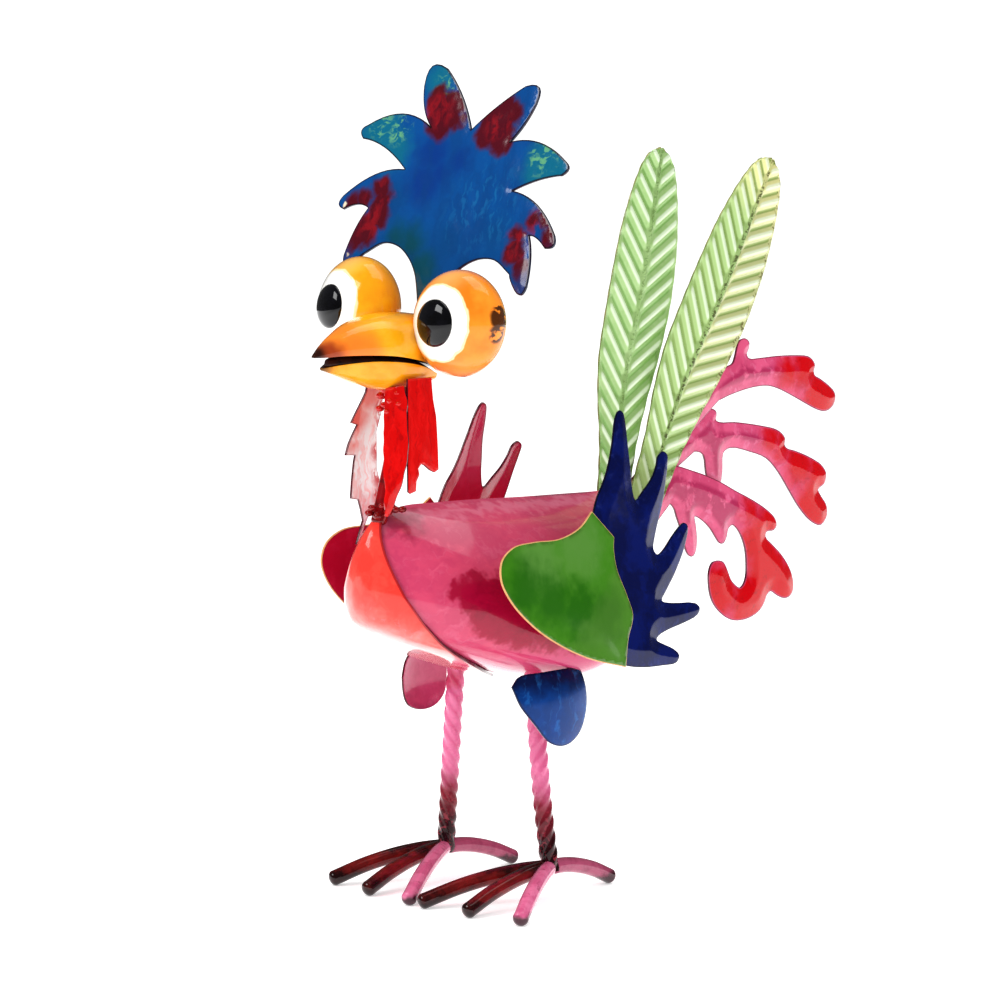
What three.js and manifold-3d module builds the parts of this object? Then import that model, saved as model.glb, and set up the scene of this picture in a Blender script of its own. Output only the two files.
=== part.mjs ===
// A standing rooster statuette of cut, formed and welded sheet metal and bar.
// Millimetres, +Z up. The bird faces -Y, and its left side is +X.
import * as THREE from 'three';
import { mergeVertices } from 'three/addons/utils/BufferGeometryUtils.js';
import Module from 'manifold-3d';

const wasm = await Module();
wasm.setup();

// Driving sizes
const figureHeight = 420;
const sheet = 1.2;
const breastSheet = 1.5;
const gap = 0.3;
const toeRod = 8;
const legBar = 9.6;
const legTurn = 32;
const neckRod = 8;
const wingFold = 2.6;
const curlFold = 2.4;
const ribPitch = 11;
const ribDepth = 0.8;

// The free forms below are drawn for a bird 420 high and follow its height.
const unit = figureHeight / 420;
const at = (x, y, z) => new THREE.Vector3(x * unit, y * unit, z * unit);
const flat = (x, y) => new THREE.Vector2(x * unit, y * unit);

// Turns a closed geometry into a solid that can be cut and joined.
function solidOf(geometry) {
  const bare = geometry.clone();
  bare.deleteAttribute('normal');
  bare.deleteAttribute('uv');
  const merged = mergeVertices(bare, 1e-4);
  const vertProperties = new Float32Array(merged.attributes.position.array);
  const triVerts = new Uint32Array(merged.index.array);
  return new wasm.Manifold(new wasm.Mesh({ numProp: 3, vertProperties, triVerts }));
}

// Turns a solid back into a geometry, with slivers left by the cuts merged away.
const sliver = 0.08;
const fineSliver = 0.01;
function geometryOf(solid, tolerance = sliver) {
  const mesh = solid.simplify(tolerance).getMesh();
  const geometry = new THREE.BufferGeometry();
  geometry.setAttribute('position', new THREE.BufferAttribute(new Float32Array(mesh.vertProperties), 3));
  geometry.setIndex(new THREE.BufferAttribute(new Uint32Array(mesh.triVerts), 1));
  geometry.computeVertexNormals();
  return geometry;
}

// The same closed form, grown outward everywhere by an amount.
function grown(geometry, amount) {
  const bare = geometry.clone();
  bare.deleteAttribute('normal');
  bare.deleteAttribute('uv');
  const merged = mergeVertices(bare, 1e-4);
  merged.computeVertexNormals();
  const place = merged.attributes.position;
  const normal = merged.attributes.normal;
  const point = new THREE.Vector3();
  const out = new THREE.Vector3();
  for (let i = 0; i < place.count; i += 1) {
    point.fromBufferAttribute(place, i);
    out.fromBufferAttribute(normal, i);
    point.addScaledVector(out, amount);
    place.setXYZ(i, point.x, point.y, point.z);
  }
  return merged;
}

// The mirror image of a geometry, on the other side of the bird.
function mirrored(geometry) {
  const copy = geometry.clone();
  copy.scale(-1, 1, 1);
  const index = copy.index;
  for (let i = 0; i < index.count; i += 3) {
    const second = index.getX(i + 1);
    index.setX(i + 1, index.getX(i + 2));
    index.setX(i + 2, second);
  }
  copy.computeVertexNormals();
  return copy;
}

// A closed skin over rings of points that run counter-clockwise about the way they advance.
function loft(rings) {
  const count = rings[0].length;
  const last = (rings.length - 1) * count;
  const faces = [];
  for (let ring = 0; ring < rings.length - 1; ring += 1) {
    for (let i = 0; i < count; i += 1) {
      const a = ring * count + i;
      const b = ring * count + (i + 1) % count;
      faces.push(a, b, b + count, a, b + count, a + count);
    }
  }
  for (let i = 1; i < count - 1; i += 1) {
    faces.push(0, i + 1, i);
    faces.push(last, last + i, last + i + 1);
  }
  const geometry = new THREE.BufferGeometry().setFromPoints(rings.flat());
  geometry.setIndex(faces);
  geometry.computeVertexNormals();
  return geometry;
}

// A strip of sheet along a path, creased down its middle, with a width that varies.
// The crease may fade in over a first share of the length, where the strip lies on its neighbour.
function strip({ path, normal, half, fold = 0, flatRoot = 0, thick = sheet, steps = 8 }) {
  const rings = [];
  for (let i = 0; i <= steps; i += 1) {
    const t = i / steps;
    const centre = path.getPointAt(t);
    const side = path.getTangentAt(t).cross(normal).normalize();
    const wide = half(t);
    const fade = flatRoot > 0 ? Math.min(1, t / flatRoot) : 1;
    const rise = fold * fade * Math.min(1, wide / (3 * fold + 0.01));
    const point = (across, up) => centre.clone()
      .addScaledVector(side, across * wide)
      .addScaledVector(normal, up);
    rings.push([
      point(0, rise + thick / 2),
      point(1, thick / 2),
      point(1, -thick / 2),
      point(0, rise - thick / 2),
      point(-1, -thick / 2),
      point(-1, thick / 2),
    ]);
  }
  return loft(rings);
}

// A round bar along a path, with domed ends.
function bar(path, radius, steps, sides = 8) {
  const rings = [];
  const ring = (centre, along, size) => {
    const up = Math.abs(along.x) > 0.9 ? new THREE.Vector3(0, 0, 1) : new THREE.Vector3(1, 0, 0);
    const u = up.cross(along).normalize();
    const v = along.clone().cross(u);
    const points = [];
    for (let i = 0; i < sides; i += 1) {
      const turn = (i / sides) * 2 * Math.PI;
      points.push(centre.clone()
        .addScaledVector(u, Math.cos(turn) * size)
        .addScaledVector(v, Math.sin(turn) * size));
    }
    return points;
  };
  const dome = (end, along, sign) => {
    const out = end.clone().addScaledVector(along, sign * 0.6 * radius);
    return ring(out, along, 0.62 * radius);
  };
  rings.push(dome(path.getPointAt(0), path.getTangentAt(0), -1));
  for (let i = 0; i <= steps; i += 1) {
    rings.push(ring(path.getPointAt(i / steps), path.getTangentAt(i / steps), radius));
  }
  rings.push(dome(path.getPointAt(1), path.getTangentAt(1), 1));
  return loft(rings);
}

// A shaped sheet: a slab of small cells, moved by shape(), trimmed to an outline in its plane.
function sheetOf(outline, { thick = sheet, columns = 1, rows = 1, shape = () => {}, round = 6 }) {
  const reach = 120 * unit;
  const box = new THREE.Box2().setFromPoints(outline.getPoints(4)).expandByScalar(4 * unit);
  const size = box.getSize(new THREE.Vector2());
  const middle = box.getCenter(new THREE.Vector2());
  const slab = new THREE.BoxGeometry(size.x, size.y, thick, columns, rows, 1);
  slab.translate(middle.x, middle.y, 0);
  const place = slab.attributes.position;
  const point = new THREE.Vector3();
  for (let i = 0; i < place.count; i += 1) {
    point.fromBufferAttribute(place, i);
    shape(point);
    place.setXYZ(i, point.x, point.y, point.z);
  }
  const prism = new THREE.ExtrudeGeometry(outline, { depth: 2 * reach, bevelEnabled: false, curveSegments: round });
  prism.translate(0, 0, -reach);
  return geometryOf(solidOf(slab).intersect(solidOf(prism)));
}

// Stands a sheet drawn as (along, up) upright, facing the bird's left, at a place across.
function upright(geometry) {
  const basis = new THREE.Matrix4().makeBasis(
    new THREE.Vector3(0, 1, 0), new THREE.Vector3(0, 0, 1), new THREE.Vector3(1, 0, 0));
  return geometry.applyMatrix4(basis);
}

// Draws a pointed tongue with a rounded tip, on to its foot.
function tongue(shape, tip, foot, swell, arch, tipRound) {
  const round = tipRound * unit;
  const start = shape.currentPoint.clone();
  const middle = start.clone().add(foot).multiplyScalar(0.5);
  const along = tip.clone().sub(middle).normalize();
  const across = new THREE.Vector2(-along.y, along.x);
  const hand = Math.sign(start.clone().sub(middle).dot(across));
  const length = tip.distanceTo(middle);
  const shoulder = (sign) => tip.clone()
    .addScaledVector(along, -round)
    .addScaledVector(across, sign * hand * round);
  const bend = (from, to, sign) => from.clone().add(to).multiplyScalar(0.5)
    .addScaledVector(across, sign * hand * swell * length)
    .add(new THREE.Vector2(0, arch * length));
  const cap = (sign) => tip.clone()
    .addScaledVector(along, round * 0.35)
    .addScaledVector(across, sign * hand * round * 0.75);
  const first = shoulder(1);
  const second = shoulder(-1);
  const up = bend(start, first, 1);
  const down = bend(second, foot, -1);
  const capFirst = cap(1);
  const capSecond = cap(-1);
  shape.quadraticCurveTo(up.x, up.y, first.x, first.y);
  shape.bezierCurveTo(capFirst.x, capFirst.y, capSecond.x, capSecond.y, second.x, second.y);
  shape.quadraticCurveTo(down.x, down.y, foot.x, foot.y);
}

// Body: sheet formed round the bird, folded to a ridge on top and squarer below.
const bodyStations = [
  [-92, 4, 163, 172, 153],
  [-88, 13, 163, 187, 147],
  [-80, 22, 161, 197, 142],
  [-66, 33, 158, 202, 135],
  [-40, 45, 154, 202.5, 125],
  [-10, 53, 150, 202, 115],
  [22, 57, 149, 201, 109],
  [50, 53, 154, 200.5, 114],
  [76, 41, 163, 200, 131],
  [98, 20, 178, 200, 158],
  [109, 3, 189, 198, 180],
];
function bodyGeometry(rings = 12, points = 20) {
  const plan = new THREE.CatmullRomCurve3(bodyStations.map(([y, half, waist]) => at(half, y, waist)));
  const side = new THREE.CatmullRomCurve3(bodyStations.map(([y, , , top, keel]) => at(top, y, keel)));
  const skin = [];
  for (let i = 0; i <= rings; i += 1) {
    const wide = plan.getPoint(i / rings);
    const tall = side.getPoint(i / rings);
    const ring = [];
    for (let j = 0; j < points; j += 1) {
      const turn = (j / points) * 2 * Math.PI;
      const across = Math.sin(turn);
      const up = Math.cos(turn);
      const tent = 1 - Math.abs(Math.asin(up)) / (Math.PI / 2);
      const share = up > 0 ? 0.5 * (Math.abs(across) + tent) : Math.abs(across) ** 0.6;
      const lift = up > 0 ? 0.5 * (up + 1 - tent) : -(Math.abs(up) ** 0.6);
      const reach = up > 0 ? tall.x - wide.z : wide.z - tall.z;
      ring.push(new THREE.Vector3(Math.sign(across) * share * wide.x, wide.y, wide.z + lift * reach));
    }
    skin.push(ring);
  }
  return loft(skin);
}
const body = bodyGeometry();
const bodyRoom = solidOf(grown(body, gap));
const clearOfBody = (geometry, tolerance) => geometryOf(solidOf(geometry).subtract(bodyRoom), tolerance);

// Breast plate: a leaf-shaped sheet that lies on the front of the body.
function breastPlate() {
  const leaf = new THREE.Shape();
  const tip = flat(0, 200);
  leaf.moveTo(tip.x, tip.y);
  const rim = [[7.6, 185], [14.5, 172], [20.3, 160.5], [25, 149.5], [27, 141], [25, 131], [16, 119.5]];
  leaf.splineThru([...rim.map(([x, z]) => flat(-x, z)), flat(0, 112)]);
  leaf.splineThru([...rim.reverse().map(([x, z]) => flat(x, z)), tip]);
  const reach = 120 * unit;
  const prism = new THREE.ExtrudeGeometry(leaf, { depth: reach, bevelEnabled: false, curveSegments: 2 });
  prism.applyMatrix4(new THREE.Matrix4().makeBasis(
    new THREE.Vector3(1, 0, 0), new THREE.Vector3(0, 0, 1), new THREE.Vector3(0, -1, 0)));
  return geometryOf(solidOf(grown(body, gap + breastSheet)).subtract(bodyRoom).intersect(solidOf(prism)));
}
const breast = breastPlate();
const breastRoom = solidOf(grown(body, 2 * gap + breastSheet)).intersect(solidOf(
  new THREE.BoxGeometry(60 * unit, 60 * unit, 100 * unit).translate(0, -90 * unit, 150 * unit)));

// Head: everything on it turns with one small roll towards the left.
const headPlace = at(0, -57, 295.4);
const headRoll = THREE.MathUtils.degToRad(5.2);
const ballAcross = 26 * unit;
const ballDeep = 18.5 * unit;
const ballSpread = 32.5 * unit;
const pupilRise = 4.5 * unit;
const pupilSeat = 0.9 * ballDeep;
const looks = [
  { word: 'left', side: 1, ahead: 0, turn: -1, lift: 2, pupilAcross: 11.5 * unit },
  { word: 'right', side: -1, ahead: 4.5 * unit, turn: -13, lift: 4, pupilAcross: 11 * unit },
];

// Each eye is drawn looking ahead, then lifted and turned to its own gaze. The right one
// sits a little ahead of the left.
function lookingOut(geometry, { side, ahead, turn, lift }) {
  geometry.rotateX(THREE.MathUtils.degToRad(-lift));
  geometry.rotateZ(THREE.MathUtils.degToRad(turn));
  return geometry.translate(side * ballSpread, -ahead, 0);
}
function eyeBall(look) {
  const ball = new THREE.SphereGeometry(1, 16, 9);
  ball.scale(ballAcross, ballDeep, ballAcross);
  return lookingOut(ball, look);
}
function pupil(look) {
  const dome = new THREE.SphereGeometry(1, 12, 4);
  dome.scale(look.pupilAcross, pupilRise, look.pupilAcross);
  dome.translate(0, -pupilSeat, 0);
  return geometryOf(solidOf(lookingOut(dome, look)).subtract(solidOf(grown(eyeBall(look), gap))));
}

// Each beak half is a dome over rings that run from the back of the mouth to the tip.
function beakHalf(stations, rings, curve) {
  const plan = new THREE.CatmullRomCurve3(stations.map(([y, half, mouth]) => at(half, y, mouth)));
  const crown = new THREE.CatmullRomCurve3(stations.map(([y, , , top]) => at(0, y, top)));
  const skin = [];
  const points = 10;
  for (let i = 0; i <= rings; i += 1) {
    const wide = plan.getPoint(i / rings);
    const top = crown.getPoint(i / rings).z;
    const ring = [];
    for (let j = 0; j <= points; j += 1) {
      const turn = (j / points) * Math.PI;
      const across = Math.cos(turn);
      const up = Math.sin(turn);
      ring.push(new THREE.Vector3(
        Math.sign(across) * Math.abs(across) ** curve * wide.x,
        wide.y,
        wide.z + up ** curve * (top - wide.z),
      ));
    }
    skin.push(top < wide.z ? ring.reverse() : ring);
  }
  return loft(skin);
}
const beakUpperStations = [
  [8, 16, -24.5, 0.5],
  [-10, 18, -19.6, 2],
  [-26, 17, -17, 1],
  [-40, 12.5, -16.7, -2.5],
  [-52, 7.2, -17.3, -8],
  [-60, 3.5, -18.2, -13],
  [-65, 1, -18.5, -17.2],
];
const beakLowerStations = [
  [6, 14, -26.8, -32],
  [-6, 17, -22.7, -34.5],
  [-20, 17.5, -20.2, -35.6],
  [-36, 12.5, -19.8, -32.5],
  [-50, 6, -21.6, -27.8],
  [-59, 1.2, -23.6, -24.8],
];

// Crest: a flat plate with eight points that leans back behind the eyes.
const crestLean = THREE.MathUtils.degToRad(16.5);
function crestOutline() {
  const shape = new THREE.Shape();
  shape.moveTo(5 * unit, -16 * unit);
  shape.lineTo(4.8 * unit, 0);
  shape.splineThru([flat(7.2, 6), flat(12, 15), flat(18.8, 21.8), flat(27, 26), flat(38, 26.8), flat(50, 21)]);
  tongue(shape, flat(61, 11.5), flat(56, 41), 0.12, 0.1, 3.6);
  tongue(shape, flat(73.5, 37.5), flat(38, 62), 0.1, 0.2, 4);
  tongue(shape, flat(70, 76), flat(28, 86), 0.08, 0.16, 3.8);
  tongue(shape, flat(37.5, 115), flat(0, 90), 0.07, 0, 6.5);
  tongue(shape, flat(-38.5, 121.5), flat(-28, 89.5), 0.11, 0, 8);
  tongue(shape, flat(-76, 84), flat(-38, 66.5), 0.08, 0.22, 3.8);
  tongue(shape, flat(-78, 44.5), flat(-56, 44.5), 0.07, 0.2, 3.8);
  tongue(shape, flat(-62.5, 14), flat(-51, 20.5), 0.12, 0.1, 3.6);
  shape.splineThru([flat(-39, 27.6), flat(-28, 27), flat(-19, 22), flat(-12.4, 15.2), flat(-7.4, 6), flat(-4.8, 0)]);
  shape.lineTo(-5 * unit, -16 * unit);
  return shape;
}
function crestPlate() {
  const plate = sheetOf(crestOutline(), { round: 2 });
  plate.rotateX(Math.PI / 2 - crestLean);
  plate.translate(0, 8.5 * unit, 5 * unit);
  return plate;
}

const head = new THREE.Group();
head.position.copy(headPlace);
head.rotation.y = headRoll;
head.updateMatrixWorld(true);
const inBodyFrame = (geometry) => geometry.clone().applyMatrix4(head.matrixWorld);

const ballRooms = looks.map((look) => solidOf(grown(eyeBall(look), gap))).reduce((all, one) => all.add(one));
const clearOfBalls = (geometry) => geometryOf(solidOf(geometry).subtract(ballRooms));
const beakUpperForm = beakHalf(beakUpperStations, 8, 0.75);
const beakLowerForm = beakHalf(beakLowerStations, 7, 0.8);
const beakUpper = clearOfBalls(beakUpperForm);
const beakLower = clearOfBalls(beakLowerForm);
const crest = geometryOf(solidOf(crestPlate())
  .subtract(solidOf(grown(beakUpperForm, gap)))
  .subtract(ballRooms));
const mouthRoom = solidOf(inBodyFrame(grown(beakLowerForm, gap)))
  .add(solidOf(inBodyFrame(grown(beakUpperForm, gap))));

// Neck: the rod, and the ragged strips that hang round it.
const neckPath = new THREE.LineCurve3(at(0, -60, 262), at(0, -80, 194));
const neckForm = bar(neckPath, neckRod / 2, 2, 10);
const neck = geometryOf(solidOf(neckForm).subtract(bodyRoom).subtract(mouthRoom).subtract(breastRoom));
const neckRoom = solidOf(grown(neckForm, gap));

const hackleTop = 268;
const hackleInset = 16.5;
const hackleFlare = 0.06;
function raggedPlate(points, side) {
  const shape = new THREE.Shape(points.map(([y, z]) => flat(y, z)));
  const flare = (point) => {
    const drop = hackleTop * unit - point.y;
    point.z += (hackleInset * unit) + drop * hackleFlare;
  };
  const plate = upright(sheetOf(shape, { rows: 3, shape: flare }));
  const placed = side > 0 ? plate : mirrored(plate);
  return solidOf(placed).subtract(mouthRoom).subtract(neckRoom).subtract(bodyRoom).subtract(breastRoom);
}
const hackleLeftOutline = [
  [-77, 268], [-60.7, 268], [-58.7, 247], [-59, 221], [-61.5, 219.9], [-64.4, 221], [-70.7, 224.5],
  [-73, 222.5], [-72.5, 219], [-75.2, 211.6], [-80.4, 211.5], [-80, 225], [-78.5, 242],
];
const hackleRightOutline = [
  [-59.8, 268], [-70.5, 268], [-72.5, 257.8], [-77.7, 249.5], [-81.4, 243.2], [-77.3, 242], [-80.3, 236.8],
  [-84.7, 227.4], [-77.6, 227], [-79.1, 214], [-79.7, 205.7], [-74.5, 204.8], [-70.7, 194], [-72.6, 189],
  [-75.3, 182.7], [-73.3, 182.3], [-69.1, 191.9], [-65.7, 199.3], [-62.9, 202.9], [-55.3, 202.9],
  [-54.9, 208.3], [-60.4, 213], [-63, 219.7], [-64, 238], [-61.2, 247.6],
];
const hackleLeft = geometryOf(raggedPlate(hackleLeftOutline, 1));
const hackleRight = geometryOf(raggedPlate(hackleRightOutline, -1));
const hackleFront = geometryOf(solidOf(strip({
  path: new THREE.CatmullRomCurve3([
    at(10, -79, 262), at(13, -82, 240), at(14.5, -84.5, 220), at(12.5, -87.5, 200),
  ]),
  normal: new THREE.Vector3(0.25, -0.96, -0.1).normalize(),
  half: (t) => (5 + 1.2 * Math.sin(t * Math.PI) - 3.6 * t ** 3) * unit,
  fold: 1.2,
  steps: 7,
})).subtract(mouthRoom).subtract(neckRoom).subtract(bodyRoom).subtract(breastRoom)
  .subtract(solidOf(grown(hackleLeft, gap))));

// Wings: a flat plate and a cluster of creased feathers under its rear edge.
const wingStand = 0.5;
const wingBase = Math.max(...bodyStations.map(([, half]) => half)) + wingStand;
const wingLean = -0.17;
const wingFlare = -0.02;
const wingNormal = new THREE.Vector3(1, -wingFlare, -wingLean).normalize();
const wingAcross = (y, z) => wingBase * unit + wingLean * (z - 190 * unit) + wingFlare * (y - 10 * unit);
const wingFeathers = [
  { root: [21, 163], tip: [42.5, 246], half: 19 },
  { root: [32, 163], tip: [73.5, 222.5], half: 15 },
  { root: [34, 154], tip: [86, 186.5], half: 13 },
  { root: [36, 140], tip: [89, 141.3], half: 12 },
  { root: [16, 131], tip: [66, 120.4], half: 8 },
];
const featherTip = 1.8;
const wingHeel = { top: [30, 176], bottom: [17, 128], half: 10 };
function wingPlate() {
  const shape = new THREE.Shape();
  const corner = flat(12.6, 198);
  shape.moveTo(corner.x, corner.y);
  shape.splineThru([flat(2, 190.8), flat(-13.7, 186.4), flat(-32.2, 186.4), flat(-48.5, 185), flat(-58, 179),
    flat(-60, 170), flat(-55, 159.7), flat(-43, 147.8), flat(-26.7, 137.2), flat(-3.7, 127), flat(24.4, 119.6)]);
  shape.splineThru([flat(32, 139), flat(34.3, 145), flat(31.5, 155), flat(26.7, 168), flat(27.4, 184)]);
  shape.lineTo(corner.x, corner.y);
  const lean = (point) => {
    point.z += wingAcross(point.x, point.y);
  };
  return clearOfBody(upright(sheetOf(shape, { columns: 3, rows: 3, shape: lean, round: 2 })));
}
const wing = wingPlate();
function wingFeatherCluster() {
  const under = -(sheet + gap) - wingFold;
  const onWing = (y, z, out) => {
    const point = at(0, y, z);
    point.x = wingAcross(point.y, point.z);
    return point.addScaledVector(wingNormal, out);
  };
  const blades = wingFeathers.map(({ root, tip, half }) => {
    const start = onWing(...root, under);
    const end = onWing(...tip, 0);
    const blade = strip({
      path: new THREE.LineCurve3(start, end),
      normal: wingNormal,
      half: (t) => (half * (1 - t) ** 0.72 + featherTip) * unit,
      fold: wingFold,
      flatRoot: 0.5,
      steps: 2,
    });
    return solidOf(blade);
  });
  const heel = solidOf(strip({
    path: new THREE.LineCurve3(onWing(...wingHeel.top, under), onWing(...wingHeel.bottom, under)),
    normal: wingNormal,
    half: () => wingHeel.half * unit,
    steps: 1,
  }));
  const cluster = blades.reduce((all, blade) => all.add(blade), heel);
  return geometryOf(cluster.subtract(bodyRoom).subtract(solidOf(grown(wing, gap))));
}
const feathers = wingFeatherCluster();

// Thighs: domed plates that hang outside the belly.
const thighLeft = { middle: [-5, 100], reach: [30, 24], across: 45.5, corner: [-33, 113.5],
  top: [[-28, 118], [-15, 119], [5, 119], [16, 118]],
  rim: [[18.5, 108], [18, 97], [14.5, 86], [8, 81.3], [0, 80.5], [-10.8, 84], [-22, 94.4], [-29.8, 104]] };
const thighRight = { middle: [-1, 105], reach: [24, 22], across: 43.5, corner: [-18, 107],
  top: [[-15.5, 117], [-9, 121], [2, 121], [13, 119]],
  rim: [[15, 106], [13, 96], [7, 90.5], [-1, 88.6], [-10, 90], [-16, 94]] };
const thighDome = 6;
function thighPlate({ middle, reach, across, corner, top, rim }, side) {
  const shape = new THREE.Shape();
  const start = flat(...corner);
  shape.moveTo(start.x, start.y);
  shape.splineThru(top.map((point) => flat(...point)));
  shape.splineThru([...rim.map((point) => flat(...point)), start]);
  const dome = (point) => {
    const away = Math.hypot(point.x / unit - middle[0], (point.y / unit - middle[1]) * reach[0] / reach[1]) / reach[0];
    point.z += (across + thighDome * (1 - Math.min(1.2, away) ** 2)) * unit;
  };
  const plate = upright(sheetOf(shape, { columns: 4, rows: 3, shape: dome, round: 2 }));
  return clearOfBody(side > 0 ? plate : mirrored(plate));
}

// Legs: square bar twisted about its length, from the belly to the ankle.
const anklePlace = at(36.8, 4, 14.5);
const hipPlace = at(26, 2, 124);
const ringsPerTurn = 9;
function legGeometry() {
  const path = new THREE.CatmullRomCurve3([hipPlace, at(29, 2, 90), at(32.5, 2.5, 52), anklePlace]);
  const length = path.getLength();
  const steps = Math.round(ringsPerTurn * length / legTurn);
  const rings = [];
  for (let i = 0; i <= steps; i += 1) {
    const t = i / steps;
    const along = path.getTangentAt(t);
    const u = new THREE.Vector3(0, 1, 0).cross(along).normalize();
    const v = along.clone().cross(u);
    const ring = [];
    for (let j = 0; j < 8; j += 1) {
      const turn = (j / 8) * 2 * Math.PI + (length * t / legTurn) * 2 * Math.PI;
      const radius = (j % 2 ? 0.44 : 0.5) * legBar;
      ring.push(path.getPointAt(t)
        .addScaledVector(u, Math.cos(turn) * radius)
        .addScaledVector(v, Math.sin(turn) * radius));
    }
    rings.push(ring);
  }
  return loft(rings);
}
const legForm = legGeometry();
const leg = clearOfBody(legForm, fineSliver);

// Feet: four bent rods that leave the ankle, arch and droop to rounded ends on the floor.
const toeRadius = toeRod / 2;
const toes = [
  { name: 'middle', tip: [35.2, -54] },
  { name: 'back', tip: [34.2, 52] },
  { name: 'inner', tip: [toeRadius / unit + 1, -55] },
  { name: 'outer', tip: [65.5, -49] },
];
function toePath([x, y]) {
  const root = anklePlace.clone();
  const tip = at(x, y, 0);
  tip.z = toeRadius;
  const share = (t, z) => {
    const point = root.clone().lerp(tip, t);
    point.z = z * unit;
    return point;
  };
  const end = tip.clone();
  return new THREE.CatmullRomCurve3([share(0.075, 16.5), share(0.22, 16), share(0.45, 14), share(0.72, 10), end]);
}
const legRoom = solidOf(grown(legForm, gap));
const toeSolids = {};
let footRoom = legRoom;
toes.forEach(({ name, tip }) => {
  const form = bar(toePath(tip), toeRadius, 4, 7);
  toeSolids[name] = geometryOf(solidOf(form).subtract(footRoom), fineSliver);
  footRoom = footRoom.add(solidOf(grown(form, gap)));
});

// Plumes: two long embossed feathers with a midrib and chevron ribs that point down.
const chevron = 0.9;
const plumeProfile = [[0, 12], [0.15, 14.5], [0.3, 20], [0.45, 24.2], [0.58, 25.2], [0.7, 24.2], [0.82, 20.8],
  [0.92, 15.5], [0.97, 10.5], [1, 1.5]];
const plumes = [
  { name: 'plume_front', foot: [95.5, 192], tip: [135, 380], across: -2.4, spread: 1 },
  { name: 'plume_rear', foot: [114, 188], tip: [225, 375], across: 2.4, spread: 1.06 },
];
const plumeBend = { most: 4, place: 0.32, reach: 0.2 };
function plumeHalf(share) {
  const next = Math.max(1, plumeProfile.findIndex(([height]) => height >= share));
  const [low, halfLow] = plumeProfile[next - 1];
  const [high, halfHigh] = plumeProfile[next];
  return THREE.MathUtils.lerp(halfLow, halfHigh, (share - low) / (high - low)) * unit;
}
function plumeGeometry({ foot, tip, across, spread }) {
  const start = at(0, ...foot);
  const end = at(0, ...tip);
  const length = start.distanceTo(end);
  const lean = Math.atan2(end.y - start.y, end.z - start.z);
  const toBird = new THREE.Matrix4().makeBasis(
    new THREE.Vector3(0, Math.cos(lean), -Math.sin(lean)),
    new THREE.Vector3(0, Math.sin(lean), Math.cos(lean)),
    new THREE.Vector3(1, 0, 0)).setPosition(across, start.y, start.z);
  const half = (height) => spread * plumeHalf(THREE.MathUtils.clamp(height / length, 0, 1));
  const middle = (height) => {
    const away = (height / length - plumeBend.place) / plumeBend.reach;
    return -plumeBend.most * unit * Math.exp(-(away ** 2));
  };
  const edgeOf = (rib) => {
    let edge = rib;
    for (let i = 0; i < 12; i += 1) edge = (edge + rib + chevron * half(edge)) / 2;
    return Math.min(edge, length);
  };
  const rows = 2 * Math.round(length / ribPitch);
  const rings = [];
  for (let row = -2; row < rows; row += 1) {
    const rib = (row / rows) * length;
    const edge = edgeOf(rib);
    const wide = Math.max(half(edge), 0.4 * sheet);
    const wave = row % 2 ? ribDepth : -ribDepth;
    rings.push([
      new THREE.Vector3(middle(rib), rib, sheet / 2),
      new THREE.Vector3(middle(edge) + wide, edge, wave + sheet / 2),
      new THREE.Vector3(middle(edge) + wide, edge, wave - sheet / 2),
      new THREE.Vector3(middle(rib), rib, -sheet / 2),
      new THREE.Vector3(middle(edge) - wide, edge, wave - sheet / 2),
      new THREE.Vector3(middle(edge) - wide, edge, wave + sheet / 2),
    ]);
  }
  rings.forEach((ring) => ring.forEach((point) => point.applyMatrix4(toBird)));
  return clearOfBody(loft(rings));
}

// Tail curls: creased strips that leave the rump behind the plumes and curl over, with side tongues.
const curlAcross = -3.4;
const sagittal = new THREE.Vector3(1, 0, 0);
const curls = {
  tail_curl_upper: { layer: 0, tongues: [
    { way: [[107, 191], [131, 209], [161, 235], [180, 249], [209, 256.5], [241, 256], [265, 247], [284, 240]],
      half: [7.6, 8.4] },
    { way: [[212, 256.5], [240, 260], [266, 260]], half: [7, 5.2] },
    { way: [[200, 254], [206, 271]], half: [6, 5] },
  ] },
  tail_curl_middle: { layer: 1, tongues: [
    { way: [[104, 188], [136, 206], [165, 222], [188, 223], [213, 220], [238, 211], [262, 193], [281, 175]],
      half: [7.4, 8] },
    { way: [[214, 223], [246, 219]], half: [6.6, 5.2] },
    { way: [[238, 212], [262, 206], [282, 196]], half: [6, 6] },
    { way: [[173, 223], [183, 234]], half: [5, 3.6] },
    { way: [[185, 222], [187, 199]], half: [7.5, 6] },
  ] },
  tail_curl_lower: { layer: 0, tongues: [
    { way: [[106, 166], [127, 186], [145, 199], [164, 196], [186, 187], [208, 175], [220, 158], [221, 140],
      [213, 130], [201, 128], [190, 136], [184, 147]], half: [7.6, 8] },
    { way: [[206, 178], [234, 171]], half: [8, 4.6] },
    { way: [[222, 156], [236, 145], [248, 133]], half: [8, 6] },
    { way: [[200, 174], [188, 168]], half: [5.5, 4.4] },
    { way: [[149, 195], [156, 178], [162, 162]], half: [7, 4.6] },
  ] },
};
function curlSolid({ layer, tongues }) {
  const across = curlAcross * unit - layer * (sheet + curlFold + gap);
  const solids = tongues.map(({ way, half: [wide, narrow] }, order) => {
    const points = way.map(([y, z]) => at(0, y, z).setX(across));
    const path = new THREE.CatmullRomCurve3(points);
    const ends = (t) => Math.sqrt(Math.min(1, Math.min(t, 1 - t) * points.length + 0.06));
    return solidOf(strip({
      path,
      normal: sagittal,
      half: (t) => (wide + (narrow - wide) * t) * ends(t) * unit,
      fold: curlFold,
      flatRoot: order > 0 ? 0.5 : 0,
      steps: points.length > 3 ? points.length + 1 : 3,
    }));
  });
  return solids.reduce((all, one) => all.add(one)).subtract(bodyRoom);
}

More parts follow.
